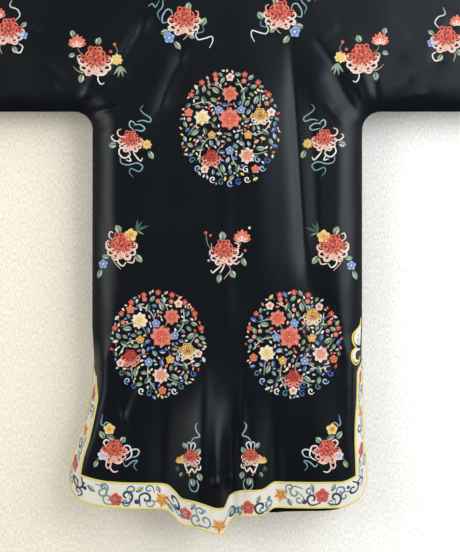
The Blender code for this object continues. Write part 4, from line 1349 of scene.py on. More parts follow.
def edit_all(operator: Callable, **values: object) -> None:
    """Run one operator on the whole of the active piece, in edit mode."""
    bpy.ops.object.mode_set(mode="EDIT")
    bpy.ops.mesh.select_all(action="SELECT")
    operator(**values)
    bpy.ops.object.mode_set(mode="OBJECT")


def paint(item: Item, dyes: Array) -> None:
    """Colour a piece's threads: all with one colour, or each point with its own."""
    layer = item.data.color_attributes.new("dye", "FLOAT_COLOR", "POINT")
    values = np.ones((len(item.data.vertices), 4))
    values[:, :3] = dyes
    layer.data.foreach_set("color", values.reshape(-1))


def dress(item: Item, finish: Material, slot: str, *nodes: str) -> Item:
    """Give a cloth piece its finish, and let it stand for its solids."""
    item.data.materials.append(finish)
    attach(item, "root")
    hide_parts(*nodes)
    LOG.info("%s: %d faces", item.name, len(item.data.polygons))
    return item


def cut_sheet(
    grid: PanelGrid,
    mask: Mask,
    lift: Lift,
    column_parts: Optional[dict[int, int]] = None,
    row_parts: Optional[dict[int, int]] = None,
    warp: Optional[Lift] = None,
) -> SheetMesh:
    """Cut a sheet out of one face's grid.

    Args:
        grid: Grid of the face.
        mask: Says from a cell's middle column and row whether it is in the sheet.
        lift: Height above the cloth's inside at a column and a row.
        column_parts: Number of parts for columns that need their own.
        row_parts: Number of parts for rows that need their own.
        warp: Moves rows, to bring the sheet's end onto a slanted line.

    Returns:
        The sheet's mesh, wound so that its faces point out of the robe.
    """
    places = grid.column_places(np.array([0.2, 1.19]))
    widths = np.abs(np.diff(places, axis=0)).max(axis=1)
    heights = np.diff(grid.row_lengths(np.array([16.0])), axis=0)[:, 0]
    columns = grid.marks(Col.LAST, widths, column_parts or {})
    rows = grid.marks(Row.HEM, heights, row_parts or {})
    middle_columns = (columns[1:] + columns[:-1]) / 2
    middle_rows = (rows[1:] + rows[:-1]) / 2
    column_map, row_map = np.meshgrid(middle_columns, middle_rows)
    in_robe = (row_map < Row.ARMPIT) | ((column_map > Col.SIDE_LEFT) & (column_map < Col.SIDE_RIGHT))
    kept = mask(column_map, row_map) & in_robe
    column_points, row_points = np.meshgrid(columns, rows)
    height = lift(column_points, row_points)
    if warp:
        row_points = warp(column_points, row_points)
    points = grid.points(column_points, row_points, height)
    x, down, length = grid.read(column_points, row_points)
    uv = np.stack([x, length], axis=-1)
    quads = grid_quads(*points.shape[:2])[kept]
    if grid.face is Face.BACK:
        quads = quads[:, ::-1]
    used, packed = np.unique(quads.reshape(-1), return_inverse=True)
    return SheetMesh(points.reshape(-1, 3)[used], packed.reshape(-1, 4), uv.reshape(-1, 2)[used])


def join_sheets(first: SheetMesh, second: SheetMesh) -> SheetMesh:
    """Put two sheets into one mesh."""
    faces = np.concatenate([first.faces, second.faces + len(first.points)])
    points = np.concatenate([first.points, second.points])
    return SheetMesh(points, faces, np.concatenate([first.uv, second.uv]))


def flat_lift(height: float) -> Lift:
    """Make a lift that is the same everywhere."""
    return lambda column, row: np.full_like(column, height)


class NodeDesk:
    """Short ways to lay shader nodes in one tree."""

    def __init__(self, tree: bpy.types.NodeTree) -> None:
        """Keep the tree that the nodes go into."""
        self.tree = tree

    def set(self, node: Node, **values: object) -> None:
        """Set a node's fields and inputs.

        Args:
            node: Node to set.
            values: Fields of the node, or inputs by name with spaces as underscores; an output
                given for an input is joined to it.
        """
        for name, value in values.items():
            if hasattr(node, name):
                setattr(node, name, value)
            elif isinstance(value, Socket):
                self.link(value, node.inputs[name.replace("_", " ")])
            else:
                node.inputs[name.replace("_", " ")].default_value = value

    def add(self, kind: str, **values: object) -> Node:
        """Add a node of a kind and set its fields and inputs."""
        node = self.tree.nodes.new(kind)
        self.set(node, **values)
        return node

    def link(self, start: Socket, end: Socket) -> None:
        """Join an output to an input."""
        self.tree.links.new(start, end)

    def times(self, first: Socket, second: Socket) -> Socket:
        """Multiply two values."""
        node = self.add("ShaderNodeMath", operation="MULTIPLY")
        self.link(first, node.inputs[0])
        self.link(second, node.inputs[1])
        return node.outputs[0]

    def blend(self, share: Socket, first: Colour, second: Colour) -> Socket:
        """Mix two colours by a mask."""
        node = self.add("ShaderNodeMix", data_type="RGBA")
        self.link(share, node.inputs["Factor"])
        for name, colour in (("A", first), ("B", second)):
            socket = [item for item in node.inputs if item.name == name and item.type == "RGBA"][0]
            socket.default_value = (*colour, 1.0)
        return [item for item in node.outputs if item.type == "RGBA"][0]

    def scaled(self, value: Socket, low: float, high: float) -> Socket:
        """Bring a mask from 0..1 to a range."""
        return self.add("ShaderNodeMapRange", Value=value, To_Min=low, To_Max=high).outputs["Result"]

    def bump(self, height: Socket, strength: float, distance: float) -> Socket:
        """Make a normal from a height."""
        node = self.add("ShaderNodeBump", Strength=strength, Distance=distance, Height=height)
        return node.outputs["Normal"]

    def noise(self, place: Socket, **values: object) -> Socket:
        """Read a noise at some coordinates."""
        return self.add("ShaderNodeTexNoise", Vector=place, **values).outputs["Fac"]


def start_material(name: str) -> tuple[Material, NodeDesk, Node]:
    """Start a material, and give it with its desk and its shader."""
    material = bpy.data.materials.new(name)
    material.use_nodes = True
    return material, NodeDesk(material.node_tree), material.node_tree.nodes["Principled BSDF"]


def make_group(
    name: str, inputs: dict[str, float], outputs: Sequence[str]
) -> tuple[NodeDesk, Node, Node]:
    """Start a shader group with a vector input and number inputs.

    Args:
        name: Name of the group.
        inputs: Number inputs with their starting values.
        outputs: Names of the mask outputs.

    Returns:
        The desk of the group's tree, its input node and its output node.
    """
    tree = bpy.data.node_groups.new(name, "ShaderNodeTree")
    tree.interface.new_socket("Vector", in_out="INPUT", socket_type="NodeSocketVector")
    for key, value in inputs.items():
        socket = tree.interface.new_socket(key, in_out="INPUT", socket_type="NodeSocketFloat")
        socket.default_value = value
    for key in outputs:
        tree.interface.new_socket(key, in_out="OUTPUT", socket_type="NodeSocketFloat")
    desk = NodeDesk(tree)
    return desk, desk.add("NodeGroupInput"), desk.add("NodeGroupOutput")


class Effects:
    """Shader groups that several finishes share, each made once."""

    def __init__(self) -> None:
        """Make every group."""
        self.weave = self.make_weave()
        self.stitches = self.make_stitches()
        self.unevenness = self.make_unevenness()

    def make_weave(self) -> bpy.types.NodeTree:
        """Satin weave: long fine floats along the length, crossed by finer picks."""
        desk, start, end = make_group("satin_weave", {"Floats": 2600.0, "Length": 420.0}, ["Height"])
        parts = desk.add("ShaderNodeSeparateXYZ", Vector=start.outputs["Vector"])
        across = desk.times(parts.outputs["X"], start.outputs["Floats"])
        along = desk.times(parts.outputs["Y"], start.outputs["Length"])
        joined = desk.add("ShaderNodeCombineXYZ", X=across, Y=along)
        desk.set(end, Height=desk.noise(joined.outputs[0], Scale=1.0, Detail=2.0, Roughness=0.6))
        return desk.tree

    def make_stitches(self) -> bpy.types.NodeTree:
        """Silk stitches side by side, along the thread direction."""
        desk, start, end = make_group("silk_stitches", {"Threads": 2400.0}, ["Height", "Tone"])
        parts = desk.add("ShaderNodeSeparateXYZ", Vector=start.outputs["Vector"])
        count = desk.times(parts.outputs["X"], start.outputs["Threads"])
        wave = desk.add("ShaderNodeMath", operation="SINE", Value=count).outputs[0]
        joined = desk.add("ShaderNodeCombineXYZ", X=count, Y=parts.outputs["Y"])
        tone = desk.noise(joined.outputs[0], Scale=0.35, Detail=1.0)
        desk.set(end, Height=desk.scaled(wave, 0.5, 1.0), Tone=tone)
        return desk.tree

    def make_unevenness(self) -> bpy.types.NodeTree:
        """Slow change over the cloth, from handling and light."""
        desk, start, end = make_group("unevenness", {"Size": 14.0}, ["Mask"])
        place, size = start.outputs["Vector"], start.outputs["Size"]
        desk.set(end, Mask=desk.noise(place, Scale=size, Detail=3.0, Roughness=0.55))
        return desk.tree

    def use(self, desk: NodeDesk, group: bpy.types.NodeTree, vector: Socket, **values: float) -> Node:
        """Place a group in a material.

        Args:
            desk: Desk of the material's tree.
            group: Group to place.
            vector: Coordinates that it reads.
            values: Its number inputs.

        Returns:
            The group's node.
        """
        return desk.add("ShaderNodeGroup", node_tree=group, Vector=vector, **values)


@dataclass(frozen=True)
class SatinFinish:
    """Woven satin with a sheen."""

    name: str
    dark: Colour
    light: Colour
    rough_low: float
    rough_high: float
    sheen: float
    specular: float
    bump: float
    softness: float = 6.0
    depth: float = 0.0004
    shine: Colour = (1.0, 1.0, 1.0)

    def make(self, effects: Effects) -> Material:
        """Build the material from the shared effects."""
        material, desk, shader = start_material(self.name)
        desk.set(
            shader,
            Sheen_Weight=self.sheen,
            Sheen_Roughness=0.45,
            Sheen_Tint=(0.82, 0.88, 1.0, 1.0),
            Specular_IOR_Level=self.specular,
            Specular_Tint=(*self.shine, 1.0),
        )
        places = desk.add("ShaderNodeTexCoord").outputs["Object"]
        threads = desk.add("ShaderNodeUVMap", uv_map="threads").outputs["UV"]
        cloud = effects.use(desk, effects.unevenness, places, Size=9.0)
        soft = effects.use(desk, effects.unevenness, places, Size=24.0)
        weave = effects.use(desk, effects.weave, threads).outputs["Height"]
        height = desk.add("ShaderNodeMath", operation="MULTIPLY_ADD")
        height.inputs[1].default_value = self.softness
        desk.link(soft.outputs["Mask"], height.inputs[0])
        desk.link(weave, height.inputs[2])
        desk.set(
            shader,
            Base_Color=desk.blend(cloud.outputs["Mask"], self.dark, self.light),
            Roughness=desk.scaled(weave, self.rough_low, self.rough_high),
            Normal=desk.bump(height.outputs[0], self.bump, self.depth),
        )
        return material


@dataclass(frozen=True)
class SilkFinish:
    """Silk embroidery, coloured stitch by stitch from the piece's own attribute."""

    name: str
    threads: float
    roughness: float
    bump: float
    depth: float = 0.0003
    dim: float = 0.60
    bright: float = 0.94

    def make(self, effects: Effects) -> Material:
        """Build the material from the shared effects."""
        material, desk, shader = start_material(self.name)
        dye = desk.add("ShaderNodeAttribute", attribute_name="dye").outputs["Color"]
        threads = desk.add("ShaderNodeUVMap", uv_map="threads").outputs["UV"]
        silk = effects.use(desk, effects.stitches, threads, Threads=self.threads)
        height = silk.outputs["Height"]
        value = desk.scaled(silk.outputs["Tone"], self.dim, self.bright)
        shaded = desk.add("ShaderNodeHueSaturation", Color=dye, Value=value)
        desk.set(
            shader,
            Sheen_Weight=0.15,
            Specular_IOR_Level=0.35,
            Base_Color=shaded.outputs["Color"],
            Roughness=desk.scaled(height, self.roughness + 0.1, self.roughness - 0.06),
            Normal=desk.bump(height, self.bump, self.depth),
        )
        return material


@dataclass(frozen=True)
class WoodFinish:
    """Plain oiled wood with grain along the rod."""

    name: str
    dark: Colour
    light: Colour

    def make(self, effects: Effects) -> Material:
        """Build the material from its own grain noise."""
        material, desk, shader = start_material(self.name)
        places = desk.add("ShaderNodeTexCoord").outputs["Object"]
        mapping = desk.add("ShaderNodeMapping", Vector=places, Scale=(4.0, 160.0, 160.0))
        grain = desk.noise(mapping.outputs[0], Scale=1.0, Detail=6.0, Roughness=0.65)
        desk.set(
            shader,
            Base_Color=desk.blend(grain, self.dark, self.light),
            Roughness=desk.scaled(grain, 0.38, 0.62),
            Normal=desk.bump(grain, 0.3, 0.0006),
        )
        return material


@dataclass(frozen=True)
class CordFinish:
    """Rolled satin cord of the knot buttons, with slanting threads."""

    name: str
    dark: Colour
    light: Colour

    def make(self, effects: Effects) -> Material:
        """Build the material from the shared effects."""
        material, desk, shader = start_material(self.name)
        places = desk.add("ShaderNodeTexCoord").outputs["Object"]
        wave = desk.add("ShaderNodeTexWave", wave_type="BANDS", bands_direction="DIAGONAL")
        desk.set(wave, Vector=places, Scale=520.0, Distortion=1.5)
        twist = wave.outputs["Fac"]
        cloud = effects.use(desk, effects.unevenness, places, Size=120.0)
        desk.set(
            shader,
            Base_Color=desk.blend(cloud.outputs["Mask"], self.dark, self.light),
            Roughness=desk.scaled(twist, 0.5, 0.34),
            Normal=desk.bump(twist, 0.6, 0.0004),
        )
        return material


@dataclass(frozen=True)
class WallFinish:
    """Pale backdrop with the fine pattern of wallpaper, its colour darker and warmer at the left as painted
    shade and paler at the right as painted light; it is clear from behind.
    """

    name: str
    warm: Colour
    cool: Colour
    see_through_behind: bool

    def make(self, effects: Effects) -> Material:
        """Build the material from the shared effects."""
        material, desk, shader = start_material(self.name)
        places = desk.add("ShaderNodeTexCoord").outputs["Object"]
        cloud = effects.use(desk, effects.unevenness, places, Size=90.0)
        # Painted shade and light: the colour runs from a darker, warmer tone at the left to a paler one at
        # the right, as if lit from the right.
        across = desk.add("ShaderNodeSeparateXYZ", Vector=places).outputs["X"]
        share = desk.add("ShaderNodeMapRange", Value=across, From_Min=-0.5, From_Max=0.5)
        mapping = desk.add("ShaderNodeMapping", Vector=places, Scale=(330.0, 330.0, 120.0))
        threads = desk.noise(mapping.outputs[0], Scale=1.0, Detail=1.5, Roughness=0.5)
        toned = desk.add(
            "ShaderNodeHueSaturation",
            Color=desk.blend(share.outputs["Result"], self.warm, self.cool),
            Value=desk.scaled(threads, 0.62, 1.30),
        )
        desk.set(
            shader,
            Base_Color=toned.outputs["Color"],
            Roughness=desk.scaled(cloud.outputs["Mask"], 0.75, 0.95),
            Normal=desk.bump(threads, 0.5, 0.0012),
        )
        if self.see_through_behind:
            clear = desk.add("ShaderNodeBsdfTransparent").outputs[0]
            mix = desk.add("ShaderNodeMixShader")
            desk.link(desk.add("ShaderNodeNewGeometry").outputs["Backfacing"], mix.inputs[0])
            desk.link(shader.outputs[0], mix.inputs[1])
            desk.link(clear, mix.inputs[2])
            output = material.node_tree.nodes["Material Output"]
            desk.link(mix.outputs[0], output.inputs["Surface"])
        return material


@dataclass
class Finishes:
    """Every finish of the robe, made once."""

    effects: Effects = field(default_factory=Effects)

    def __post_init__(self) -> None:
        """Make the materials."""
        self.satin = SatinFinish(
            "black_satin",
            dark=(0.0022, 0.0030, 0.0046),
            light=(0.0046, 0.0060, 0.0086),
            rough_low=0.29,
            rough_high=0.42,
            sheen=0.0,
            specular=0.25,
            bump=0.25,
            shine=(0.86, 0.94, 1.0),
        ).make(self.effects)
        self.cream = SatinFinish(
            "cream_satin",
            dark=(0.55, 0.535, 0.47),
            light=(0.66, 0.64, 0.58),
            rough_low=0.42,
            rough_high=0.58,
            sheen=0.20,
            specular=0.45,
            bump=0.35,
        ).make(self.effects)
        self.silk = SilkFinish("embroidery_silk", 10000.0, 0.46, 0.5).make(self.effects)
        self.cord = SilkFinish("piping_silk", 6000.0, 0.42, 0.6).make(self.effects)
        self.knot = CordFinish("frog_cord", (0.012, 0.011, 0.013), (0.045, 0.040, 0.042)).make(self.effects)
        self.wood = WoodFinish("rod_wood", (0.20, 0.105, 0.050), (0.46, 0.28, 0.15)).make(self.effects)


@dataclass(frozen=True)
class StitchShape:
    """A closed raised shape: its length runs from 0 to 1 along y and its width from -1 to 1."""

    points: Array
    faces: tuple[tuple[int, ...], ...]


def model_shape(name: str, parts: int, profile: Sequence[float]) -> StitchShape:
    """Model one raised shape: a grid, drawn in row by row, domed and closed below.

    Args:
        name: Name of the passing mesh.
        parts: Number of steps across.
        profile: Half width at each row, from base to tip.

    Returns:
        The shape's points and faces.
    """
    rows = len(profile)
    bpy.ops.object.select_all(action="DESELECT")
    bpy.ops.mesh.primitive_grid_add(x_subdivisions=parts, y_subdivisions=rows - 1, size=2.0)
    item = bpy.context.active_object
    item.name = name
    bpy.ops.object.mode_set(mode="EDIT")
    for number, half in enumerate(profile):
        place = -1.0 + 2.0 * number / (rows - 1)
        select_where(item, lambda point, at=place: abs(point.y - at) < 1e-4)
        bpy.ops.transform.resize(value=(half, 1.0, 1.0), center_override=(0.0, place, 0.0))
    select_where(item, lambda point: abs(point.x) < 1e-4 and abs(point.y) < 0.99)
    bpy.ops.transform.translate(value=(0.0, 0.0, 1.0))
    if parts > 2:
        select_where(item, lambda point: point.z < 0.5 and abs(point.y) < 0.99)
        bpy.ops.mesh.select_less()
        bpy.ops.transform.translate(value=(0.0, 0.0, 0.7))
    bpy.ops.mesh.select_all(action="SELECT")
    bpy.ops.mesh.region_to_loop()
    bpy.ops.mesh.extrude_edges_move(TRANSFORM_OT_translate={"value": (0.0, 0.0, -0.4)})
    bpy.ops.mesh.edge_face_add()
    bpy.ops.mesh.select_all(action="SELECT")
    bpy.ops.mesh.normals_make_consistent(inside=False)
    bpy.ops.object.mode_set(mode="OBJECT")
    points = np.array([vertex.co[:] for vertex in item.data.vertices])
    points[:, 1] = (points[:, 1] + 1.0) / 2.0
    faces = tuple(tuple(polygon.vertices) for polygon in item.data.polygons)
    mesh = item.data
    bpy.data.objects.remove(item, do_unlink=True)
    bpy.data.meshes.remove(mesh)
    return StitchShape(points, faces)


def select_where(item: Item, test: Callable[[Vector], bool]) -> None:
    """In edit mode, select only the points that pass a test."""
    bpy.ops.mesh.select_mode(type="VERT")
    bpy.ops.mesh.select_all(action="DESELECT")
    shape = bmesh.from_edit_mesh(item.data)
    for vertex in shape.verts:
        vertex.select = test(vertex.co)
    shape.select_flush(True)
    bmesh.update_edit_mesh(item.data)


class Shapes:
    """Raised shapes that the embroidery repeats, each modelled once."""

    def __init__(self) -> None:
        """Model every shape."""
        self.petal = model_shape("petal", 2, (0.30, 0.72, 1.0, 0.95, 0.42))
        self.broad = model_shape("broad_petal", 4, (0.34, 0.74, 0.98, 1.0, 0.80, 0.34))
        self.leaf = model_shape("leaf", 2, (0.16, 0.74, 1.0, 0.72, 0.08))
        self.blade = model_shape("blade", 2, (0.30, 1.0, 0.70, 0.04))
        self.spot = model_shape("spot", 2, (0.42, 0.92, 1.0, 0.92, 0.42))


Ground = Callable[[Array, Array, Array], Array]


def panel_ground(face: Face, x: float, down: float, base: float, mirror: bool = False) -> Ground:
    """Ground on the flat of a panel.

    Args:
        face: Side of the robe.
        x: Place of the motif's middle.
        down: Drop of the motif's middle.
        base: Height of the cloth there above its inside.
        mirror: Whether the motif is turned over, left to right.

    Returns:
        A function from across, down and height to points.
    """
    sign = -1.0 if mirror else 1.0

    def place(across: Array, drop: Array, lift: Array) -> Array:
        return FORM.place(x + sign * across, down + drop, base + lift, face)

    return place


def hem_ground(face: Face, base: float) -> Ground:
    """Ground on the band of the hem: across from the robe's middle, and down from the band's own middle."""
    name = face.name.lower()

    def place(across: Array, drop: Array, lift: Array) -> Array:
        middle = read_table(HEM, "x", name, across) - BAND_WIDTH / 2
        return FORM.place(across, middle + drop, base + lift, face)

    return place


def slit_ground(grid: PanelGrid, sign: float, down: float, base: float) -> Ground:
    """Ground on the band of a slit, measured along its own cloth.

    Args:
        grid: Grid of the face.
        sign: -1 for the slit on the left, 1 for the right.
        down: Drop of the motif's middle.
        base: Height of the band's outside above the cloth's inside.

    Returns:
        A function from across, down and height to points; across is 0 at the band's middle.
    """
    edge = grid.row_lengths(np.array([float(Col.SIDE_LEFT + 2)]))[:, 0] - FORM.arc
    marks = np.array([0.0, PIPING_WIDTH, BAND_WIDTH / 2, BAND_WIDTH - PIPING_WIDTH, BAND_WIDTH])

    def place(across: Array, drop: Array, lift: Array) -> Array:
        step = np.interp(sign * across + BAND_WIDTH / 2, marks, np.arange(5.0))
        column = Col.BAND_LEFT - step
        column = np.where(sign < 0.0, column, Col.LAST - column)
        row = np.interp(down + drop, edge, np.arange(Row.HEM + 1.0))
        return grid.points(column, row, base + lift)

    return place


@dataclass
class Embroidery:
    """One piece of embroidery: raised stitches that are laid on a ground and joined."""

    shapes: Shapes
    ground: Ground
    height: float = 0.0006
    batches: list[tuple[Ground, list[Array]]] = field(default_factory=list)
    faces: list[tuple[int, ...]] = field(default_factory=list)
    dyes: list[Array] = field(default_factory=list)
    threads: list[Array] = field(default_factory=list)
    count: int = 0

    def lay(self, places: Array, faces: Sequence[Sequence[int]], dyes: Array, threads: Array) -> None:
        """Add points across, down and up, with their colours and thread directions."""
        if not self.batches or self.batches[-1][0] is not self.ground:
            self.batches.append((self.ground, []))
        self.batches[-1][1].append(places)
        self.faces += [tuple(self.count + index for index in face) for face in faces]
        self.dyes.append(dyes)
        self.threads.append(threads)
        self.count += len(places)

    def petal(
        self,
        shape: StitchShape,
        across: float,
        drop: float,
        turn: float,
        length: float,
        width: float,
        inner: Dye,
        outer: Dye,
        rise: float = 1.0,
        bend: float = 0.0,
    ) -> None:
        """Lay one shape with its base at a place.

        Args:
            shape: Shape to lay.
            across: Place of its base across.
            drop: Place of its base down.
            turn: Direction of its tip in degrees, from +across toward +down.
            length: Its length.
            width: Its width.
            inner: Colour at the base.
            outer: Colour at the tip.
            rise: Height, as a share of the embroidery's own.
            bend: How far the tip swings to one side, as a share of the length.
        """
        along = shape.points[:, 1]
        side = shape.points[:, 0] * width / 2 + bend * length * along**2
        angle = math.radians(turn)
        run = along * length
        x = across + run * math.cos(angle) - side * math.sin(angle)
        y = drop + run * math.sin(angle) + side * math.cos(angle)
        up = shape.points[:, 2] * rise
        share = np.clip(along, 0.0, 1.0)[:, None]
        dyes = inner.rgb * (1.0 - share) + outer.rgb * share
        threads = np.stack([shape.points[:, 0] * width / 2, run], axis=-1)
        self.lay(np.stack([x, y, up], axis=-1), shape.faces, dyes, threads)

    def spot(self, across: float, drop: float, radius: float, dye: Dye, rise: float = 1.2) -> None:
        """Lay a round knot."""
        self.petal(self.shapes.spot, across - radius, drop, 0.0, radius * 2, radius * 2, dye, dye, rise)

    def leaf(
        self, across: float, drop: float, turn: float, length: float, width: float, dye: Dye, rim: Dye
    ) -> None:
        """Lay a leaf about its middle: a dark rim, a half in each tone and a rib."""
        angle = math.radians(turn)
        x = across - math.cos(angle) * length / 2
        y = drop - math.sin(angle) * length / 2
        self.petal(self.shapes.leaf, x, y, turn, length, width, GREEN, dye)
        for side, tone in ((-1.0, rim), (1.0, dye)):
            start_x = x + math.cos(angle) * length * 0.10 - math.sin(angle) * side * width * 0.20
            start_y = y + math.sin(angle) * length * 0.10 + math.cos(angle) * side * width * 0.20
            self.petal(self.shapes.leaf, start_x, start_y, turn, length * 0.78, width * 0.40, tone, tone, 1.5)
        self.petal(self.shapes.blade, x, y, turn, length * 0.85, width * 0.13, INK, GREEN, 1.7)

    def stroke(
        self,
        path: Sequence[Place],
        width: float,
        start: Dye,
        end: Dye,
        taper: float = 0.3,
        rise: float = 1.0,
    ) -> None:
        """Lay a raised line along a smooth path.

        Args:
            path: Points that the line passes, across and down.
            width: Width in the middle.
            start: Colour at the start.
            end: Colour at the end.
            taper: Width at both ends, as a share of the width.
            rise: Height, as a share of the embroidery's own.
        """
        line = smooth_path(np.array(path), max(width * 1.1, 0.0022))
        count = len(line)
        share = np.linspace(0.0, 1.0, count)
        half = width / 2 * (taper + (1.0 - taper) * np.sqrt(np.sin(math.pi * np.clip(share, 0.02, 0.98))))
        ahead = np.gradient(line, axis=0)
        ahead /= np.maximum(np.linalg.norm(ahead, axis=1, keepdims=True), TINY)
        beside = np.stack([-ahead[:, 1], ahead[:, 0]], axis=-1)
        section = ((-1.0, -0.4), (-0.75, 0.55), (0.0, 1.0), (0.75, 0.55), (1.0, -0.4))
        places = []
        for side, up in section:
            ring = line + beside * (half * side)[:, None]
            places.append(np.column_stack([ring, np.full(count, up * rise)]))
        faces = []
        for k in range(len(section)):
            after = (k + 1) % len(section)
            for step in range(count - 1):
                a, b = k * count + step, after * count + step
                faces.append((a, a + 1, b + 1, b))
        faces.append(tuple(k * count for k in range(len(section))))
        faces.append(tuple(k * count + count - 1 for k in reversed(range(len(section)))))
        dyes = start.rgb * (1.0 - share[:, None]) + end.rgb * share[:, None]
        steps = np.concatenate([[0.0], np.cumsum(np.linalg.norm(np.diff(line, axis=0), axis=1))])
        threads = [np.stack([steps, half * side], axis=-1) for side, _ in section]
        self.lay(np.concatenate(places), faces, np.tile(dyes, (len(section), 1)), np.concatenate(threads))

    def scroll(
        self,
        across: float,
        drop: float,
        radius: float,
        turn: float,
        dye: Dye,
        width: float,
        hand: float,
        tail: float,
    ) -> None:
        """Lay a curling line that winds in to a place.

        Args:
            across: Place of the curl's middle across.
            drop: Place of the curl's middle down.
            radius: Radius of the outer turn.
            turn: Direction of the tail in degrees.
            dye: Colour.
            width: Width of the line.
            hand: 1 or -1, for the sense of winding.
            tail: Length of the tail in radii.
        """
        path = []
        for share in np.linspace(0.0, 1.0, 12):
            angle = math.radians(turn - hand * 90.0) + hand * share * SCROLL_WINDING
            reach = radius * (1.0 - SCROLL_CLOSING * share**0.85)
            path.append((across + reach * math.cos(angle), drop + reach * math.sin(angle)))
        angle = math.radians(turn)
        run = radius * tail
        x = path[0][0] - run * math.sin(angle) * 0.3 * hand + run * math.cos(angle + math.pi)
        y = path[0][1] + run * math.cos(angle) * 0.3 * hand + run * math.sin(angle + math.pi)
        path.insert(0, (x, y))
        self.stroke(path, width, dye, dye, taper=0.35)

    def blossom(self, across: float, drop: float, radius: float, inner: Dye, outer: Dye, centre: Dye) -> None:
        """Lay an open flower: five round petals with a gap between each two, and a knotted heart."""
        for k in range(5):
            angle = -90.0 + 72.0 * k
            x = across + math.cos(math.radians(angle)) * radius * 0.14
            y = drop + math.sin(math.radians(angle)) * radius * 0.14
            self.petal(self.shapes.broad, x, y, angle, radius * 0.88, radius * 0.86, inner, outer)
            self.petal(self.shapes.blade, x, y, angle, radius * 0.50, radius * 0.16, centre, inner, 1.7)
        self.spot(across, drop, radius * 0.20, centre, 1.8)

    def star(self, across: float, drop: float, radius: float, inner: Dye, middle: Dye, outer: Dye) -> None:
        """Lay a flower of pointed petals, long and short in turn."""
        for k in range(11):
            length = radius * (1.12 if k % 2 else 0.86)
            dyes = (inner, middle) if k % 2 else (middle, outer)
            turn = 360.0 * k / 11 - 70.0
            self.petal(self.shapes.leaf, across, drop, turn, length, radius * 0.36, *dyes, 1.0, 0.08)
        for k in range(5):
            size = (radius * 0.46, radius * 0.26)
            self.petal(self.shapes.leaf, across, drop, 72.0 * k, *size, outer, inner, 1.9)

    def cup(self, across: float, drop: float, radius: float, inner: Dye, middle: Dye, outer: Dye) -> None:
        """Lay a half-open flower: petals that fan upward out of a pale cup."""
        foot = drop + radius * 0.55
        for k in range(7):
            turn = -90.0 + (k - 3) * 24.0
            length = radius * (1.5 - 0.12 * abs(k - 3))
            dyes = (middle, inner) if k % 2 else (inner, middle)
            rise = 1.0 + 0.2 * (k % 2)
            self.petal(self.shapes.petal, across, foot, turn, length, radius * 0.52, *dyes, rise)
        for turn in (-150.0, -30.0, -90.0):
            self.petal(self.shapes.broad, across, foot, turn, radius * 0.85, radius * 0.7, outer, outer, 1.7)

    def peony(self, across: float, drop: float, radius: float, inner: Dye, middle: Dye, outer: Dye) -> None:
        """Lay a full flower: three rings of broad petals, each over the last."""
        rings = (
            (1.0, 8, outer, middle, 0.0, 1.0),
            (0.68, 7, middle, inner, 20.0, 1.7),
            (0.40, 5, outer, inner, 8.0, 2.4),
        )
        for reach, petals, rim, base, offset, rise in rings:
            for k in range(petals):
                angle = offset + 360.0 * k / petals
                width = radius * reach * 1.70 * math.sin(math.pi / petals)
                bend = 0.06 * (-1) ** k
                length = radius * reach
                self.petal(self.shapes.broad, across, drop, angle, length, width, base, rim, rise, bend)
        self.spot(across, drop, radius * 0.14, GOLD, 3.0)

    def hoop(
        self,
        across: float,
        drop: float,
        turn: float,
        base: float,
        size: Place,
        line: float,
        start: Dye,
        end: Dye,
        rise: float,
    ) -> None:
        """Lay a petal's outline: a raised line from its foot round its tip and back.

        Args:
            across: Place of the flower's middle across.
            drop: Place of the flower's middle down.
            turn: Direction of the petal in degrees.
            base: Distance of its foot from the flower's middle.
            size: Its length and its width.
            line: Width of the line.
            start: Colour at the start of the line.
            end: Colour at its end.
            rise: Height, as a share of the embroidery's own.
        """
        angle = math.radians(turn)
        path = []
        for run, side in PETAL_OUTLINE:
            along, beside = base + run * size[0], side * size[1]
            x = across + along * math.cos(angle) - beside * math.sin(angle)
            path.append((x, drop + along * math.sin(angle) + beside * math.cos(angle)))
        self.stroke(path, line, start, end, 0.6, rise)

    def hook(
        self, across: float, drop: float, turn: float, radius: float, line: float, start: Dye, end: Dye
    ) -> None:
        """Lay a long petal that leaves a flower and curls back at its tip."""
        hand = 1.0 if turn > 90.0 else -1.0
        path = []
        for reach, swing in HOOK_OUTLINE:
            angle = math.radians(turn - hand * swing)
            path.append((across + radius * reach * math.cos(angle), drop + radius * reach * math.sin(angle)))
        self.stroke(path, line, start, end, 0.6, 0.8)

    def chrysanthemum(
        self, across: float, drop: float, radius: float, dark: Dye, mid: Dye, pale: Dye
    ) -> None:
        """Lay a chrysanthemum: a ball of outlined petals with dark gaps, and pale hooks below.

        Args:
            across: Place of its middle across.
            drop: Place of its middle down.
            radius: Radius of the flower.
            dark: Colour of the inner petals.
            mid: Colour of the upper petals.
            pale: Colour of the lower petals and hooks.
        """
        for turn in (164.0, 136.0, 106.0, 74.0, 44.0, 14.0):
            self.hook(across, drop, turn, radius * 0.94, radius * 0.15, PINK, pale)
        line = radius * 0.125
        rings = ((13, 0.58, 0.42, 0.37, 1.0), (10, 0.33, 0.37, 0.34, 1.7), (6, 0.06, 0.34, 0.24, 2.3))
        for number, (count, base, length, width, rise) in enumerate(rings):
            for k in range(count):
                turn = 360.0 * (k + 0.5 * number) / count - 90.0 + 9.0 * math.sin(5.3 * k + number)
                below = math.sin(math.radians(turn)) > 0.35 + 0.45 * number
                outer = pale if below else (mid if (k + number) % 2 else dark)
                inner = mid if below else dark
                reach = radius * (0.93 + 0.13 * math.sin(2.7 * k + 1.3 * number))
                size = (reach * length, radius * width * (1.0 + 0.14 * math.sin(4.1 * k)))
                x = across + math.cos(math.radians(turn)) * reach * base
                y = drop + math.sin(math.radians(turn)) * reach * base
                if number == 2:
                    self.petal(self.shapes.petal, x, y, turn, size[0], size[1], DEEP_RED, outer, rise, 0.2)
                    continue
                self.petal(
                    self.shapes.petal, x, y, turn, size[0] * 0.60, size[1] * 0.34, DEEP_RED, inner, rise * 0.8
                )
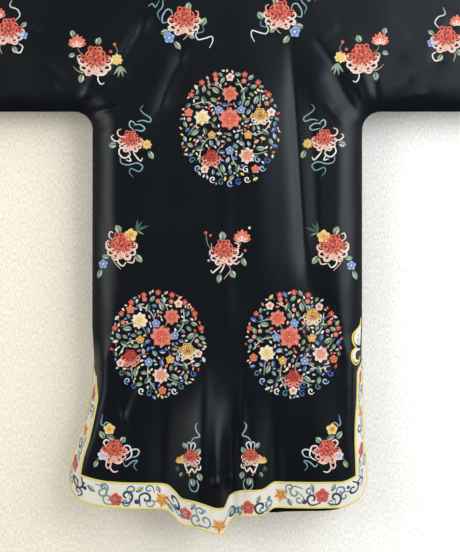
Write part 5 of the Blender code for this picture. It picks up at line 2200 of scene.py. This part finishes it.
                self.hoop(across, drop, turn, reach * base, size, line, inner, outer, rise)
        self.spot(across, drop, radius * 0.07, INK, 3.0)

    def blades(
        self, across: float, drop: float, turn: float, length: float, dye: Dye, count: int
    ) -> None:
        """Lay a tuft of narrow blades that spread from one place."""
        for k in range(count):
            angle = turn + (k - (count - 1) / 2) * 26.0
            size = length * (1.0 - 0.12 * abs(k - (count - 1) / 2))
            self.petal(self.shapes.blade, across, drop, angle, size, length * 0.20, dye, dye, 0.9, 0.1)

    def draw(self, plan: Spray) -> None:
        """Lay everything that a plan lists; its sizes are in millimetres."""
        for row in plan.ribbons:
            path = [(across * MM, down * MM) for across, down in row.path]
            self.stroke(path, row.width * MM, row.start, row.end)
        for row in plan.curls:
            width = (SCROLL_WIDTH + SCROLL_WIDENING * row.radius) * MM
            place = (row.across * MM, row.down * MM)
            self.scroll(*place, row.radius * MM, row.turn, row.dye, width, row.hand, SCROLL_TAIL)
        for row in plan.tufts:
            self.blades(row.across * MM, row.down * MM, row.turn, row.length * MM, row.dye, row.count)
        for row in plan.leaves:
            size = (row.length * MM, row.width * MM)
            self.leaf(row.across * MM, row.down * MM, row.turn, *size, row.dye, PALE_SAGE)
        for row in plan.buds:
            self.spot(row.across * MM, row.down * MM, row.width * MM / 2, row.dye)
        kinds = {
            CHRYSANTHEMUM: self.chrysanthemum,
            PEONY: self.peony,
            BLOSSOM: self.blossom,
            CUP: self.cup,
            STAR: self.star,
        }
        for row in plan.flowers:
            lay = kinds[row.bloom]
            lay(row.across * MM, row.down * MM, row.radius * MM, row.inner, row.middle, row.outer)

    def finish(self, name: str, finishes: Finishes) -> Item:
        """Join all the stitches into one piece.

        Args:
            name: Name of the piece.
            finishes: Finishes of the robe.

        Returns:
            The piece.
        """
        points = []
        for ground, runs in self.batches:
            places = np.concatenate(runs)
            points.append(ground(places[:, 0], places[:, 1], places[:, 2] * self.height))
        item = make_item(name, np.concatenate(points), self.faces, np.concatenate(self.threads))
        paint(item, np.concatenate(self.dyes))
        edit_all(bpy.ops.mesh.normals_make_consistent, inside=False)
        bpy.ops.object.shade_smooth_by_angle(angle=math.radians(60.0))
        item.data.materials.append(finishes.silk)
        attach(item, "root")
        LOG.info("%s: %d faces", name, len(item.data.polygons))
        return item


def smooth_path(marks: Array, step: float) -> Array:
    """Run a smooth line through some points.

    Args:
        marks: Points that it passes.
        step: Rough distance between the points of the line.

    Returns:
        The line's points.
    """
    ends = np.concatenate([[2 * marks[0] - marks[1]], marks, [2 * marks[-1] - marks[-2]]])
    line = []
    for k in range(1, len(ends) - 2):
        before, start, end, after = ends[k - 1], ends[k], ends[k + 1], ends[k + 2]
        parts = max(2, math.ceil(np.linalg.norm(end - start) / step))
        for part in range(parts):
            t = part / parts
            line.append(
                0.5
                * (
                    2 * start
                    + (end - before) * t
                    + (2 * before - 5 * start + 4 * end - after) * t**2
                    + (3 * start - before - 3 * end + after) * t**3
                )
            )
    line.append(marks[-1])
    return np.array(line)


class Room:
    """Places already taken inside a roundel, each with its radius."""

    def __init__(self, most: int = 4000) -> None:
        """Start empty."""
        self.rows = np.zeros((most, 3))
        self.count = 0

    def take(self, place: Place, radius: float) -> None:
        """Note that a place is taken."""
        self.rows[self.count] = (*place, radius)
        self.count += 1

    def free(self, place: Place) -> float:
        """Distance from a place to the nearest edge of what is there."""
        rows = self.rows[: self.count]
        return float((np.hypot(rows[:, 0] - place[0], rows[:, 1] - place[1]) - rows[:, 2]).min())


PETAL_OUTLINE = (
    (0.0, -0.28), (0.42, -0.50), (0.86, -0.36), (1.0, 0.0), (0.86, 0.36), (0.42, 0.50), (0.10, 0.34),
)
HOOK_OUTLINE = ((0.50, 0.0), (0.86, 5.0), (1.14, -4.0), (1.22, -16.0), (1.10, -25.0), (0.98, -20.0))
LEAF_DYES = (
    (SAGE, PALE_SAGE),
    (GREEN, PALE_SAGE),
    (ASH, PALE_SAGE),
    (BLUE, PALE_BLUE),
    (PALE_BLUE, WHITE),
    (BLUE, WHITE),
)


@dataclass(frozen=True)
class Roundel:
    """Round field of generic flowers, with leafy stems, blue scrolls and a fine fill."""

    name: str
    x: float
    down: float
    start: float
    seed: int
    half_width: float = 0.117
    half_height: float = 0.128
    heart: float = 0.026
    full: float = 0.019
    small: float = 0.0100
    sprig: float = 0.0078
    stem: float = 0.0030
    stem_room: float = 0.0022
    leaf: float = 0.022
    leaf_width: float = 0.0125
    leaf_room: float = 0.0095
    bell: float = 0.0068
    bell_step: float = 0.0009
    bell_room: float = 0.0058
    bell_least: float = 0.0042
    wave: float = 0.0076
    wave_line: float = 0.0034
    wave_room: float = 0.0080
    wave_least: float = 0.0050
    gap: float = 0.0005
    tries: int = 4200

    def spot_at(self, turn: float, reach: float) -> Place:
        """Place at a share of the way from the middle to the rim."""
        angle = math.radians(turn)
        return self.half_width * reach * math.cos(angle), self.half_height * reach * math.sin(angle)

    def lay_flowers(self, work: Embroidery, room: Room) -> None:
        """Lay the full flowers and the small ones between them, with their leaves."""
        full = (
            (DEEP_RED, CORAL, SALMON),
            (GOLD, PALE_GOLD, CREAM),
            (CORAL, SALMON, CREAM),
        )
        middle = self.spot_at(self.start, 0.16)
        work.peony(*middle, self.heart, DEEP_RED, CORAL, SALMON)
        room.take(middle, self.heart)
        for k in range(5):
            turn = self.start + 72.0 * k
            place = self.spot_at(turn, 0.58 + 0.05 * (k % 2))
            lay = work.chrysanthemum if k in (1, 3) else work.peony
            lay(*place, self.full, *full[k % 3])
            room.take(place, self.full * 1.08)
            for side in (-24.0, 24.0):
                leaf = self.spot_at(turn + side, 0.70)
                dye = SAGE if side < 0.0 else GREEN
                work.leaf(*leaf, turn + side * 2.2, self.leaf, self.leaf_width, dye, PALE_SAGE)
                room.take(leaf, self.leaf_room)
        dyes = (
            (BLUE, PALE_BLUE, WHITE),
            (PINK, CREAM, CORAL),
            (ORANGE, GOLD, CREAM),
            (CORAL, SALMON, GOLD),
        )
        for k in range(10):
            place = self.spot_at(self.start + 36.0 + 36.0 * k, 0.38 if k % 2 == 0 else 0.86)
            work.blossom(*place, self.small, *dyes[k % 4])
            room.take(place, self.small)

    def lay_leaves(self, work: Embroidery, room: Room) -> None:
        """Lay leaves where there is still room for them, green above and more of them blue below."""
        chance = np.random.default_rng(self.seed + 1)
        for _ in range(self.tries // 5):
            place = self.spot_at(chance.random() * 360.0, math.sqrt(chance.random()) * 0.95)
            size = chance.uniform(0.0056, 0.0078)
            turn = chance.random() * 360.0
            if room.free(place) < size:
                continue
            low = place[1] > 0.1 * self.half_height
            inner, outer = LEAF_DYES[int(chance.integers(6 if low else 4))]
            work.leaf(*place, turn, size * 2.3, size * 1.35, inner, outer)
            room.take(place, size)

    def lay_stems(self, work: Embroidery, room: Room) -> None:
        """Lay curved stems from the middle to the rim, with a leaf on each."""
        for k in range(10):
            turn = self.start + 18.0 + 36.0 * k
            marks = ((0, 0.26), (14, 0.45), (6, 0.66), (-8, 0.84))
            path = [self.spot_at(turn + bend, reach) for bend, reach in marks]
            work.stroke(path, self.stem, BROWN if k % 2 else TEAL, PALE_TEAL if k % 2 else CREAM)
            for place in path:
                room.take(place, self.stem_room)
            leaf = self.spot_at(turn + 16.0, 0.84)
            if room.free(leaf) > 0.006:
                work.leaf(*leaf, turn + 60.0, 0.017, 0.010, SAGE, PALE_SAGE)
                room.take(leaf, 0.0075)

    def lay_crown(self, work: Embroidery, room: Room) -> None:
        """Lay strings of coral blossoms that hang from the upper rim."""
        for k in range(9):
            turn = -162.0 + 18.0 * k
            length = 0.020 + 0.010 * ((k * 5) % 3)
            top = self.spot_at(turn, 0.95)
            for step in range(3):
                place = (top[0] * (1.0 - 0.05 * step), top[1] + length * step / 2.2 * 1.1)
                if room.free(place) < self.bell_least:
                    continue
                inner, outer = ((DEEP_RED, CORAL), (CORAL, SALMON), (SALMON, PINK))[step]
                work.blossom(*place, self.bell - self.bell_step * step, inner, outer, CREAM)
                room.take(place, self.bell_room)

    def lay_waves(self, work: Embroidery, room: Room) -> None:
        """Lay blue and white scrolls along the lower rim."""
        for row, reach in enumerate((0.93, 0.77)):
            for k in range(11 - 3 * row):
                turn = 36.0 + 8.0 * row + 10.8 * k
                place = self.spot_at(turn, reach)
                if room.free(place) < self.wave_least:
                    continue
                dye = (BLUE, PALE_BLUE, TEAL, WHITE)[(k + row) % 4]
                hand = 1.0 if k % 2 else -1.0
                work.scroll(*place, self.wave, turn + 90.0, dye, self.wave_line, hand, 0.8)
                room.take(place, self.wave_room)

    def lay_fill(self, work: Embroidery, room: Room) -> None:
        """Fill what is left with small petals, each clear of its neighbours."""
        chance = np.random.default_rng(self.seed)
        for _ in range(self.tries):
            reach = math.sqrt(chance.random()) * 0.985
            place = self.spot_at(chance.random() * 360.0, reach)
            size = chance.uniform(0.0028, 0.0044)
            pick = int(chance.integers(len(FILL_DYES)))
            turn = chance.random() * 360.0
            space = room.free(place)
            if space < size + self.gap:
                continue
            if place[1] > self.half_height * 0.55:
                pick = 6 + int(chance.integers(4))
            inner, outer = FILL_DYES[pick]
            ahead = np.array([math.cos(math.radians(turn)), math.sin(math.radians(turn))])
            if space > self.sprig:
                for swing in (-52.0, -18.0, 18.0, 52.0):
                    petal = (self.sprig, self.sprig * 0.42)
                    work.petal(work.shapes.petal, *place, turn + swing, *petal, inner, outer)
                stem = place - self.sprig * ahead
                work.stroke([place, stem], 0.0018, SAGE, TEAL)
                room.take(place, self.sprig * 0.92)
                continue
            foot = place - size * 1.2 * ahead
            work.petal(work.shapes.petal, *foot, turn, size * 2.4, size * 1.35, inner, outer, 0.9, 0.12)
            room.take(place, size * 0.92)

    def build(self, shapes: Shapes, finishes: Finishes) -> Item:
        """Lay the whole roundel on the back.

        Args:
            shapes: Raised shapes to repeat.
            finishes: Finishes of the robe.

        Returns:
            The roundel as one piece.
        """
        work = Embroidery(shapes, panel_ground(Face.BACK, self.x, self.down, FORM.cloth))
        room = Room()
        self.lay_flowers(work, room)
        self.lay_stems(work, room)
        self.lay_crown(work, room)
        self.lay_waves(work, room)
        self.lay_leaves(work, room)
        self.lay_fill(work, room)
        return work.finish(self.name, finishes)


@dataclass
class BorderStitches:
    """Flowers and scrolls on the band of one face, and the cloud heads where its slits begin."""

    shapes: Shapes
    finishes: Finishes
    grid: PanelGrid
    flower: float = 17.0
    curl: float = 13.0
    hem_step: float = 56.0

    def flower_row(self, across: float, down: float, dye: Dye) -> Flower:
        """Flower of the band: a red one opens round, an orange one has pointed petals."""
        if dye is CORAL:
            return Flower(BLOSSOM, across, down, self.flower, DEEP_RED, CORAL, ASH)
        return Flower(STAR, across, down, self.flower, BROWN, ORANGE, GOLD)

    def slit_plan(self, flowers: Sequence[SlitFlower]) -> Spray:
        """Plan for a slit's band: its flowers, with scrolls and leaves between each two.

        Args:
            flowers: Flowers of that slit, from the top.

        Returns:
            The plan, across from the band's middle and down from the rod.
        """
        laid, curls, leaves = [], [], []
        for number, row in enumerate(flowers):
            down = row.down * 1000.0
            laid.append(self.flower_row(0.0, down, row.dye))
            side = 1 if number % 2 else -1
            curls.append(Curl(-9.0 * side, down + 34.0, self.curl, 90 * side, side, INK))
            curls.append(Curl(9.0 * side, down + 46.0, self.curl * 0.8, -90 * side, side, TEAL))
            curls.append(Curl(12.0 * side, down + 28.0, self.curl * 0.55, 60 * side, -side, ASH))
            leaves.append(Leaf(-14.0 * side, down - 19.0, -60 * side, 17.0, 9.0, SAGE))
            leaves.append(Leaf(15.0 * side, down + 17.0, 100, 15.0, 8.0, ASH))
        return Spray(flowers=tuple(laid), leaves=tuple(leaves), curls=tuple(curls[: 3 * len(flowers)]))

    def hem_plan(self) -> Spray:
        """Plan for the front's hem: flowers in turn with scrolls at even steps."""
        flowers, curls, leaves = [], [], []
        for k in range(-5, 6):
            x = k * self.hem_step
            if k % 2 == 0:
                flowers.append(self.flower_row(x, 0.0, CORAL if k % 4 == 0 else ORANGE))
                leaves.append(Leaf(x + 20.0, -14.0, 30, 18.0, 9.0, SAGE))
                leaves.append(Leaf(x - 20.0, 13.0, 200, 17.0, 9.0, ASH))
            else:
                curls.append(Curl(x - 9.0, 3.0, self.curl, 180, 1, INK))
                curls.append(Curl(x + 11.0, -6.0, self.curl * 0.8, 0, 1, TEAL))
                curls.append(Curl(x + 10.0, 12.0, self.curl * 0.55, 0, -1, ASH))
        return Spray(flowers=tuple(flowers), leaves=tuple(leaves), curls=tuple(curls))

    def build(self) -> list[Item]:
        """Lay the border's embroidery and the cloud heads."""
        face = self.grid.face
        back = face is Face.BACK
        work = Embroidery(self.shapes, hem_ground(face, FORM.band_top))
        work.draw(BACK_HEM_PLAN if back else self.hem_plan())
        for side in (-1, 1):
            work.ground = slit_ground(self.grid, side, 0.0, FORM.band_top)
            work.draw(self.slit_plan(SLIT_FLOWERS[face, side]))
        heads = Embroidery(self.shapes, panel_ground(face, 0.0, 0.0, FORM.cloth), height=0.0010)
        if back:
            heads.draw(CLOUD_HEAD_BACK)
        else:
            for side in (-1, 1):
                edge = float(FORM.side_at(np.array(SLIT_TOP), np.array(float(side))))
                heads.ground = panel_ground(face, side * edge, SLIT_TOP, FORM.cloth, mirror=side < 0)
                heads.draw(CLOUD_HEAD_FRONT)
        name = face.name.lower()
        return [
            work.finish(f"border_stitches_{name}", self.finishes),
            heads.finish(f"cloud_head_{name}", self.finishes),
        ]


def sew_sprays(shapes: Shapes, finishes: Finishes) -> dict[str, list[Item]]:
    """Lay every spray of the back, and the three roundels.

    Args:
        shapes: Raised shapes to repeat.
        finishes: Finishes of the robe.

    Returns:
        The pieces of each panel, by the panel's node.
    """
    pieces: dict[str, list[Item]] = {"back": [], "sleeve_left": [], "sleeve_right": []}
    for row in SPRAY_PLACES:
        work = Embroidery(shapes, panel_ground(Face.BACK, row.x, row.down, FORM.cloth, row.mirror))
        work.draw(row.spray)
        pieces[row.panel].append(work.finish(f"spray_{row.name}", finishes))
    roundels = (
        Roundel("roundel_top", 0.0059, 0.3725, start=-90.0, seed=11, half_height=0.138),
        Roundel("roundel_left", -0.1614, 0.8743, start=-60.0, seed=23, half_width=0.111, half_height=0.126),
        Roundel("roundel_right", 0.1545, 0.8743, start=-125.0, seed=37, half_width=0.114, half_height=0.126),
    )
    pieces["back"] += [roundel.build(shapes, finishes) for roundel in roundels]
    return pieces


def in_slits_or_hem(column: Array, row: Array) -> Array:
    """Cells of the border band, from their middle column and row."""
    out = from_cuff(column)
    return (row > Row.SLIT) & ((out < Col.BAND_LEFT) | (row > Row.BAND))


def outer_piping(column: Array, row: Array) -> Array:
    """Cells of the piping along the border's open edge."""
    out = from_cuff(column)
    return (row > Row.SLIT) & ((out < Col.SIDE_LEFT + 1) | (row > Row.HEM - 1))


def inner_piping(column: Array, row: Array) -> Array:
    """Cells of the piping along the border's inner edge."""
    out = from_cuff(column)
    beside = (out > Col.BAND_LEFT - 1) & (out < Col.BAND_LEFT) & (row < Row.BAND + 1)
    above = (row > Row.BAND) & (row < Row.BAND + 1) & (out > Col.BAND_LEFT - 1)
    return (row > Row.SLIT) & (beside | above)


def rounded_cord(inset: bool) -> Lift:
    """Height of a piping line: round across its width.

    Args:
        inset: True for the line on the border's inner edge.

    Returns:
        The lift to cut the piping with.
    """
    base = FORM.band_top + FORM.seam_gap * 0.2

    def lift(column: Array, row: Array) -> Array:
        out = from_cuff(column)
        if inset:
            across = np.maximum(Col.BAND_LEFT - out, row - Row.BAND)
        else:
            across = np.minimum(out - Col.SIDE_LEFT, Row.HEM - row)
        across = np.clip(across, 0.0, 1.0)
        top = FORM.seam_gap + FORM.piping
        return base + top * np.sqrt(np.clip(1.0 - (2.0 * across - 1.0) ** 2, 0.0, 1.0))

    return lift


@dataclass
class RobeCloth:
    """The satin panels of the robe, the two fronts, the sleeves and the collar."""

    finishes: Finishes
    collar_height: float = 0.038
    collar_lean: float = 0.10
    collar_split: float = 0.0006
    collar_step: float = 0.25
    grids: dict[Face, PanelGrid] = field(default_factory=dict)

    def __post_init__(self) -> None:
        """Make the grid of each face."""
        self.grids = {face: PanelGrid(face) for face in Face}
        self.grids[Face.FRONT].step = 0.0072

    def make_back(self) -> Item:
        """Back panel, cut in one with the upper sleeves."""
        sheet = cut_sheet(
            self.grids[Face.BACK],
            lambda column, row: (column > Col.SEAM_LEFT) & (column < Col.SEAM_RIGHT),
            flat_lift(FORM.cloth),
        )
        return dress(sheet.to_object("back_panel", FORM.cloth), self.finishes.satin, "satin", "back")

    def make_wide_front(self) -> Item:
        """Wide front with the edge that laps over the narrow front."""

        def mask(column: Array, row: Array) -> Array:
            upper = (column > Col.SEAM_LEFT) & (column < Col.MIDDLE)
            lap = (column > Col.MIDDLE) & (column < Col.SIDE_RIGHT) & (row > Row.LAP)
            lower = (row > Row.ARMPIT) & (column > Col.SIDE_LEFT) & (column < Col.SIDE_RIGHT)
            return upper | lap | lower

        def lift(column: Array, row: Array) -> Array:
            over = np.clip(column - (Col.MIDDLE - 1), 0.0, 1.0)
            over = over * np.clip(Row.CLOSING + 1 - row, 0.0, 1.0) * (column <= Col.SIDE_RIGHT)
            over = over * np.clip(row - (Row.LAP - 1), 0.0, 1.0)
            return FORM.cloth + (FORM.cloth + FORM.seam_gap) * over

        sheet = cut_sheet(self.grids[Face.FRONT], mask, lift)
        item = sheet.to_object("front_wide", FORM.cloth)
        return dress(item, self.finishes.satin, "satin", "front_left")

    def make_narrow_front(self) -> Item:
        """Narrow front at the wearer's right shoulder, with its upper sleeve."""

        def mask(column: Array, row: Array) -> Array:
            chest = (column > Col.MIDDLE) & (column < Col.SIDE_RIGHT) & (row < Row.CLOSING)
            sleeve = (column > Col.SIDE_RIGHT) & (column < Col.SEAM_RIGHT)
            return chest | sleeve

        sheet = cut_sheet(self.grids[Face.FRONT], mask, flat_lift(FORM.cloth))
        item = sheet.to_object("front_narrow", FORM.cloth)
        return dress(item, self.finishes.satin, "satin", "front_right")

    def make_sleeve(self, name: str, low: float, high: float) -> Item:
        """Sleeve extension, folded over the rod and open along its lower seam."""
        sheets = []
        for grid in self.grids.values():
            sheet = cut_sheet(
                grid,
                lambda column, row: (column > low) & (column < high) & (row < Row.ARMPIT),
                flat_lift(FORM.cloth),
            )
            top = np.abs(sheet.points[:, 1]) < EDGE_DEPTH * 1.5
            top &= sheet.points[:, 2] > 0.0
            sheet.points[top, 1] = 0.0
            sheets.append(sheet)
        item = join_sheets(*sheets).to_object(f"{name}_cloth", FORM.cloth, merge=True)
        return dress(item, self.finishes.satin, "satin", name)

    def make_collar(self) -> Item:
        """Stand collar on the neck's edge, split at the middle of the front."""
        runs = (
            (Face.FRONT, np.arange(Col.MIDDLE, Col.NECK_RIGHT, self.collar_step)),
            (Face.BACK, np.arange(Col.NECK_RIGHT, Col.NECK_LEFT, -self.collar_step)),
            (Face.FRONT, np.arange(Col.NECK_LEFT, Col.MIDDLE + 1e-6, self.collar_step)),
        )
        foot = []
        outward = []
        for face, columns in runs:
            grid = self.grids[face]
            top = np.zeros_like(columns)
            inside = grid.points(columns, top, top)
            above = grid.points(columns, top, top + 0.001)
            foot.append(inside)
            outward.append((above - inside) / 0.001)
        foot = np.concatenate(foot)
        outward = np.concatenate(outward)
        foot[:, 2] += FORM.cloth * np.maximum(outward[:, 2], 0.0) + FORM.seam_gap
        ends = np.abs(foot[:, 0]) > NECK_HALF - 1e-4
        foot[ends, 1] = 0.0
        outward[:, 2] = 0.0
        outward[ends] = np.stack([np.sign(foot[ends, 0]), 0 * foot[ends, 0], 0 * foot[ends, 0]], axis=-1)
        outward /= np.maximum(np.linalg.norm(outward, axis=1, keepdims=True), TINY)
        foot[0, 0] += self.collar_split
        foot[-1, 0] -= self.collar_split
        rises = np.linspace(0.0, 1.0, 6)
        rows = []
        for rise in rises:
            row = foot + outward * FORM.cloth
            row[:, 2] += self.collar_height * rise
            row[:, 0] -= foot[:, 0] * self.collar_lean * rise
            rows.append(row)
        points = np.stack(rows)
        quads = grid_quads(len(rises), len(foot))
        around = np.concatenate([[0.0], np.cumsum(np.linalg.norm(np.diff(foot, axis=0), axis=1))])
        uv = np.stack(np.meshgrid(around, rises * self.collar_height), axis=-1).reshape(-1, 2)
        sheet = SheetMesh(points.reshape(-1, 3), quads.reshape(-1, 4), uv)
        item = sheet.to_object("stand_collar", FORM.cloth)
        return dress(item, self.finishes.satin, "satin", "collar")

    def build(self) -> dict[str, Item]:
        """Make every panel."""
        return {
            "back": self.make_back(),
            "front_left": self.make_wide_front(),
            "front_right": self.make_narrow_front(),
            "sleeve_left": self.make_sleeve("sleeve_left", 0, Col.SEAM_LEFT),
            "sleeve_right": self.make_sleeve("sleeve_right", Col.SEAM_RIGHT, Col.LAST),
            "collar": self.make_collar(),
        }


@dataclass
class BorderTrim:
    """Cream band and yellow piping round the slits and the hem of one face."""

    finishes: Finishes
    grid: PanelGrid
    across_parts: int = 6
    dye: Colour = (0.84, 0.68, 0.10)

    @property
    def side(self) -> str:
        """Name of the face that the border is on."""
        return self.grid.face.name.lower()

    def below_start(self, mask: Mask) -> Mask:
        """Keep a mask's cells below the row where each slit's band begins."""
        first_left, first_right = (BAND_STARTS[self.grid.face, side].row for side in (-1, 1))

        def kept(column: Array, row: Array) -> Array:
            return mask(column, row) & (row > np.where(column < Col.MIDDLE, first_left, first_right))

        return kept

    def slant(self, column: Array, row: Array) -> Array:
        """Move the first row of each slit's band onto its slanted line."""
        out = from_cuff(column)
        share = np.clip((out - Col.SIDE_LEFT) / (Col.BAND_LEFT - Col.SIDE_LEFT), 0.0, 1.0)
        moved = row.astype(float)
        for side in (-1, 1):
            start = BAND_STARTS[self.grid.face, side]
            goal = start.outer + (start.inner - start.outer) * share
            near = np.clip(start.row + 1 - row, 0.0, 1.0) * (row > start.row - 1e-6)
            here = (column - Col.MIDDLE) * side > 0.0
            moved = moved + np.where(here, (goal - start.row) * near, 0.0)
        return moved

    def make_band(self) -> Item:
        """Cream satin band."""
        mask = self.below_start(in_slits_or_hem)
        sheet = cut_sheet(self.grid, mask, flat_lift(FORM.band_top), warp=self.slant)
        item = sheet.to_object(f"band_{self.side}", FORM.band)
        return dress(item, self.finishes.cream, "ribbon", f"border_{self.side}")

    def make_piping(self, place: str) -> Item:
        """One line of piping, "inner" or "outer"."""
        parts = self.across_parts
        if place == "inner":
            columns = {Col.BAND_LEFT - 1: parts, Col.BAND_RIGHT: parts}
            rows = {Row.BAND: parts}
            mask = inner_piping
        else:
            columns = {Col.SIDE_LEFT: parts, Col.SIDE_RIGHT - 1: parts}
            rows = {Row.HEM - 1: parts}
            mask = outer_piping
        sheet = cut_sheet(
            self.grid, self.below_start(mask), rounded_cord(place == "inner"), columns, rows, self.slant
        )
        item = sheet.to_object(f"cord_{self.side}_{place}", FORM.seam_gap)
        paint(item, self.dye)
        return dress(item, self.finishes.cord, "piping", f"piping_{self.side}_{place}")

    def build(self) -> list[Item]:
        """Make the band and both lines of piping."""
        return [self.make_band(), self.make_piping("inner"), self.make_piping("outer")]


@dataclass
class Studio:
    """Camera at the photograph's angle, plain pale wall and floor, and soft light."""

    effects: Effects
    metres_per_pixel: float = 0.00235
    frame_width: int = 460
    frame_height: int = 552
    axis_pixel: float = 227.5
    top_down: float = 0.0677
    distance: float = 2.6
    wall_y: float = 0.082
    floor_z: float = -1.62
    sensor: float = 36.0

    def make_camera(self) -> Item:
        """Camera straight in front of the robe's back."""
        data = bpy.data.cameras.new("camera")
        data.sensor_width = self.sensor
        data.lens = self.sensor * self.distance / (self.frame_height * self.metres_per_pixel)
        camera = bpy.data.objects.new("camera", data)
        x = (self.frame_width / 2 - self.axis_pixel) * self.metres_per_pixel
        z = -(self.top_down + self.frame_height / 2 * self.metres_per_pixel)
        camera.location = (x, -self.distance, z)
        camera.rotation_euler = (math.radians(90.0), 0.0, 0.0)
        bpy.context.scene.collection.objects.link(camera)
        bpy.context.scene.camera = camera
        return camera

    def make_surface(self, name: str, finish: WallFinish, centre: Vector, turn: float, size: float) -> Item:
        """Large flat surface behind or under the robe."""
        bpy.ops.object.select_all(action="DESELECT")
        bpy.ops.mesh.primitive_plane_add(size=size, location=centre, rotation=(turn, 0.0, 0.0))
        item = bpy.context.active_object
        item.name = name
        bpy.ops.object.transform_apply(location=True, rotation=True, scale=True)
        item.data.materials.append(finish.make(self.effects))
        return item

    def make_light(self, name: str, place: Vector, size: float, power: float, colour: Colour) -> None:
        """Soft square light aimed at the middle of the robe."""
        data = bpy.data.lights.new(name, "AREA")
        data.size = size
        data.energy = power
        data.color = colour
        lamp = bpy.data.objects.new(name, data)
        lamp.location = place
        aim = Vector((0.0, 0.0, -0.65)) - place
        lamp.rotation_euler = aim.to_track_quat("-Z", "Y").to_euler()
        bpy.context.scene.collection.objects.link(lamp)

    def build(self) -> None:
        """Make the camera, the wall, the floor and the lights."""
        self.make_camera()
        bpy.context.scene.view_settings.view_transform = "Standard"
        # The wall's colour runs darker and warmer to the left as painted shade; the floor's runs the same
        # way, more faintly.
        wall = self.make_surface(
            "studio_wall",
            WallFinish("wall_paper", (0.78, 0.73, 0.62), (0.83, 0.83, 0.81), see_through_behind=True),
            Vector((0.0, self.wall_y, self.floor_z + 3.0)),
            math.radians(90.0),
            6.0,
        )
        wall.visible_shadow = False
        floor = self.make_surface(
            "studio_floor",
            WallFinish("pale_floor", (0.72, 0.70, 0.66), (0.78, 0.77, 0.75), see_through_behind=False),
            Vector((0.0, 0.0, self.floor_z)),
            0.0,
            9.0,
        )
        floor.visible_glossy = False
        self.make_light("window_right", Vector((2.2, -2.2, 0.25)), 2.4, 100.0, (0.96, 0.98, 1.0))
        self.make_light("window_left", Vector((-2.4, -2.0, -0.2)), 1.7, 46.0, (1.0, 0.97, 0.92))
        self.make_light("ceiling", Vector((0.2, -1.8, 2.0)), 1.8, 20.0, (1.0, 0.99, 0.98))
        self.make_light("behind", Vector((0.6, 2.6, 1.2)), 2.0, 45.0, (1.0, 1.0, 1.0))
        world = bpy.data.worlds.new("studio_air")
        world.use_nodes = True
        background = world.node_tree.nodes["Background"]
        background.inputs["Color"].default_value = (0.92, 0.95, 1.0, 1.0)
        background.inputs["Strength"].default_value = 0.25
        world.cycles_visibility.glossy = False
        bpy.context.scene.world = world


def main() -> None:
    """Build every piece of the robe in order."""
    logging.basicConfig(level=logging.INFO, format="%(name)s: %(message)s")
    finishes = Finishes()
    cloth = RobeCloth(finishes)
    panels = cloth.build()
    trims = {face: BorderTrim(finishes, cloth.grids[face]).build() for face in Face}
    shapes = Shapes()
    for face in Face:
        trims[face] += BorderStitches(shapes, finishes, cloth.grids[face]).build()
    sewn = sew_sprays(shapes, finishes)
    for slot in frame["nodes"]["rod"].material_slots:
        slot.material = finishes.wood
    for name in ("frog_1", "frog_2", "frog_3"):
        for slot in frame["nodes"][name].material_slots:
            slot.material = finishes.knot
    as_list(trims[Face.FRONT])
    Studio(finishes.effects).build()


if __name__ == "__main__":
    main()
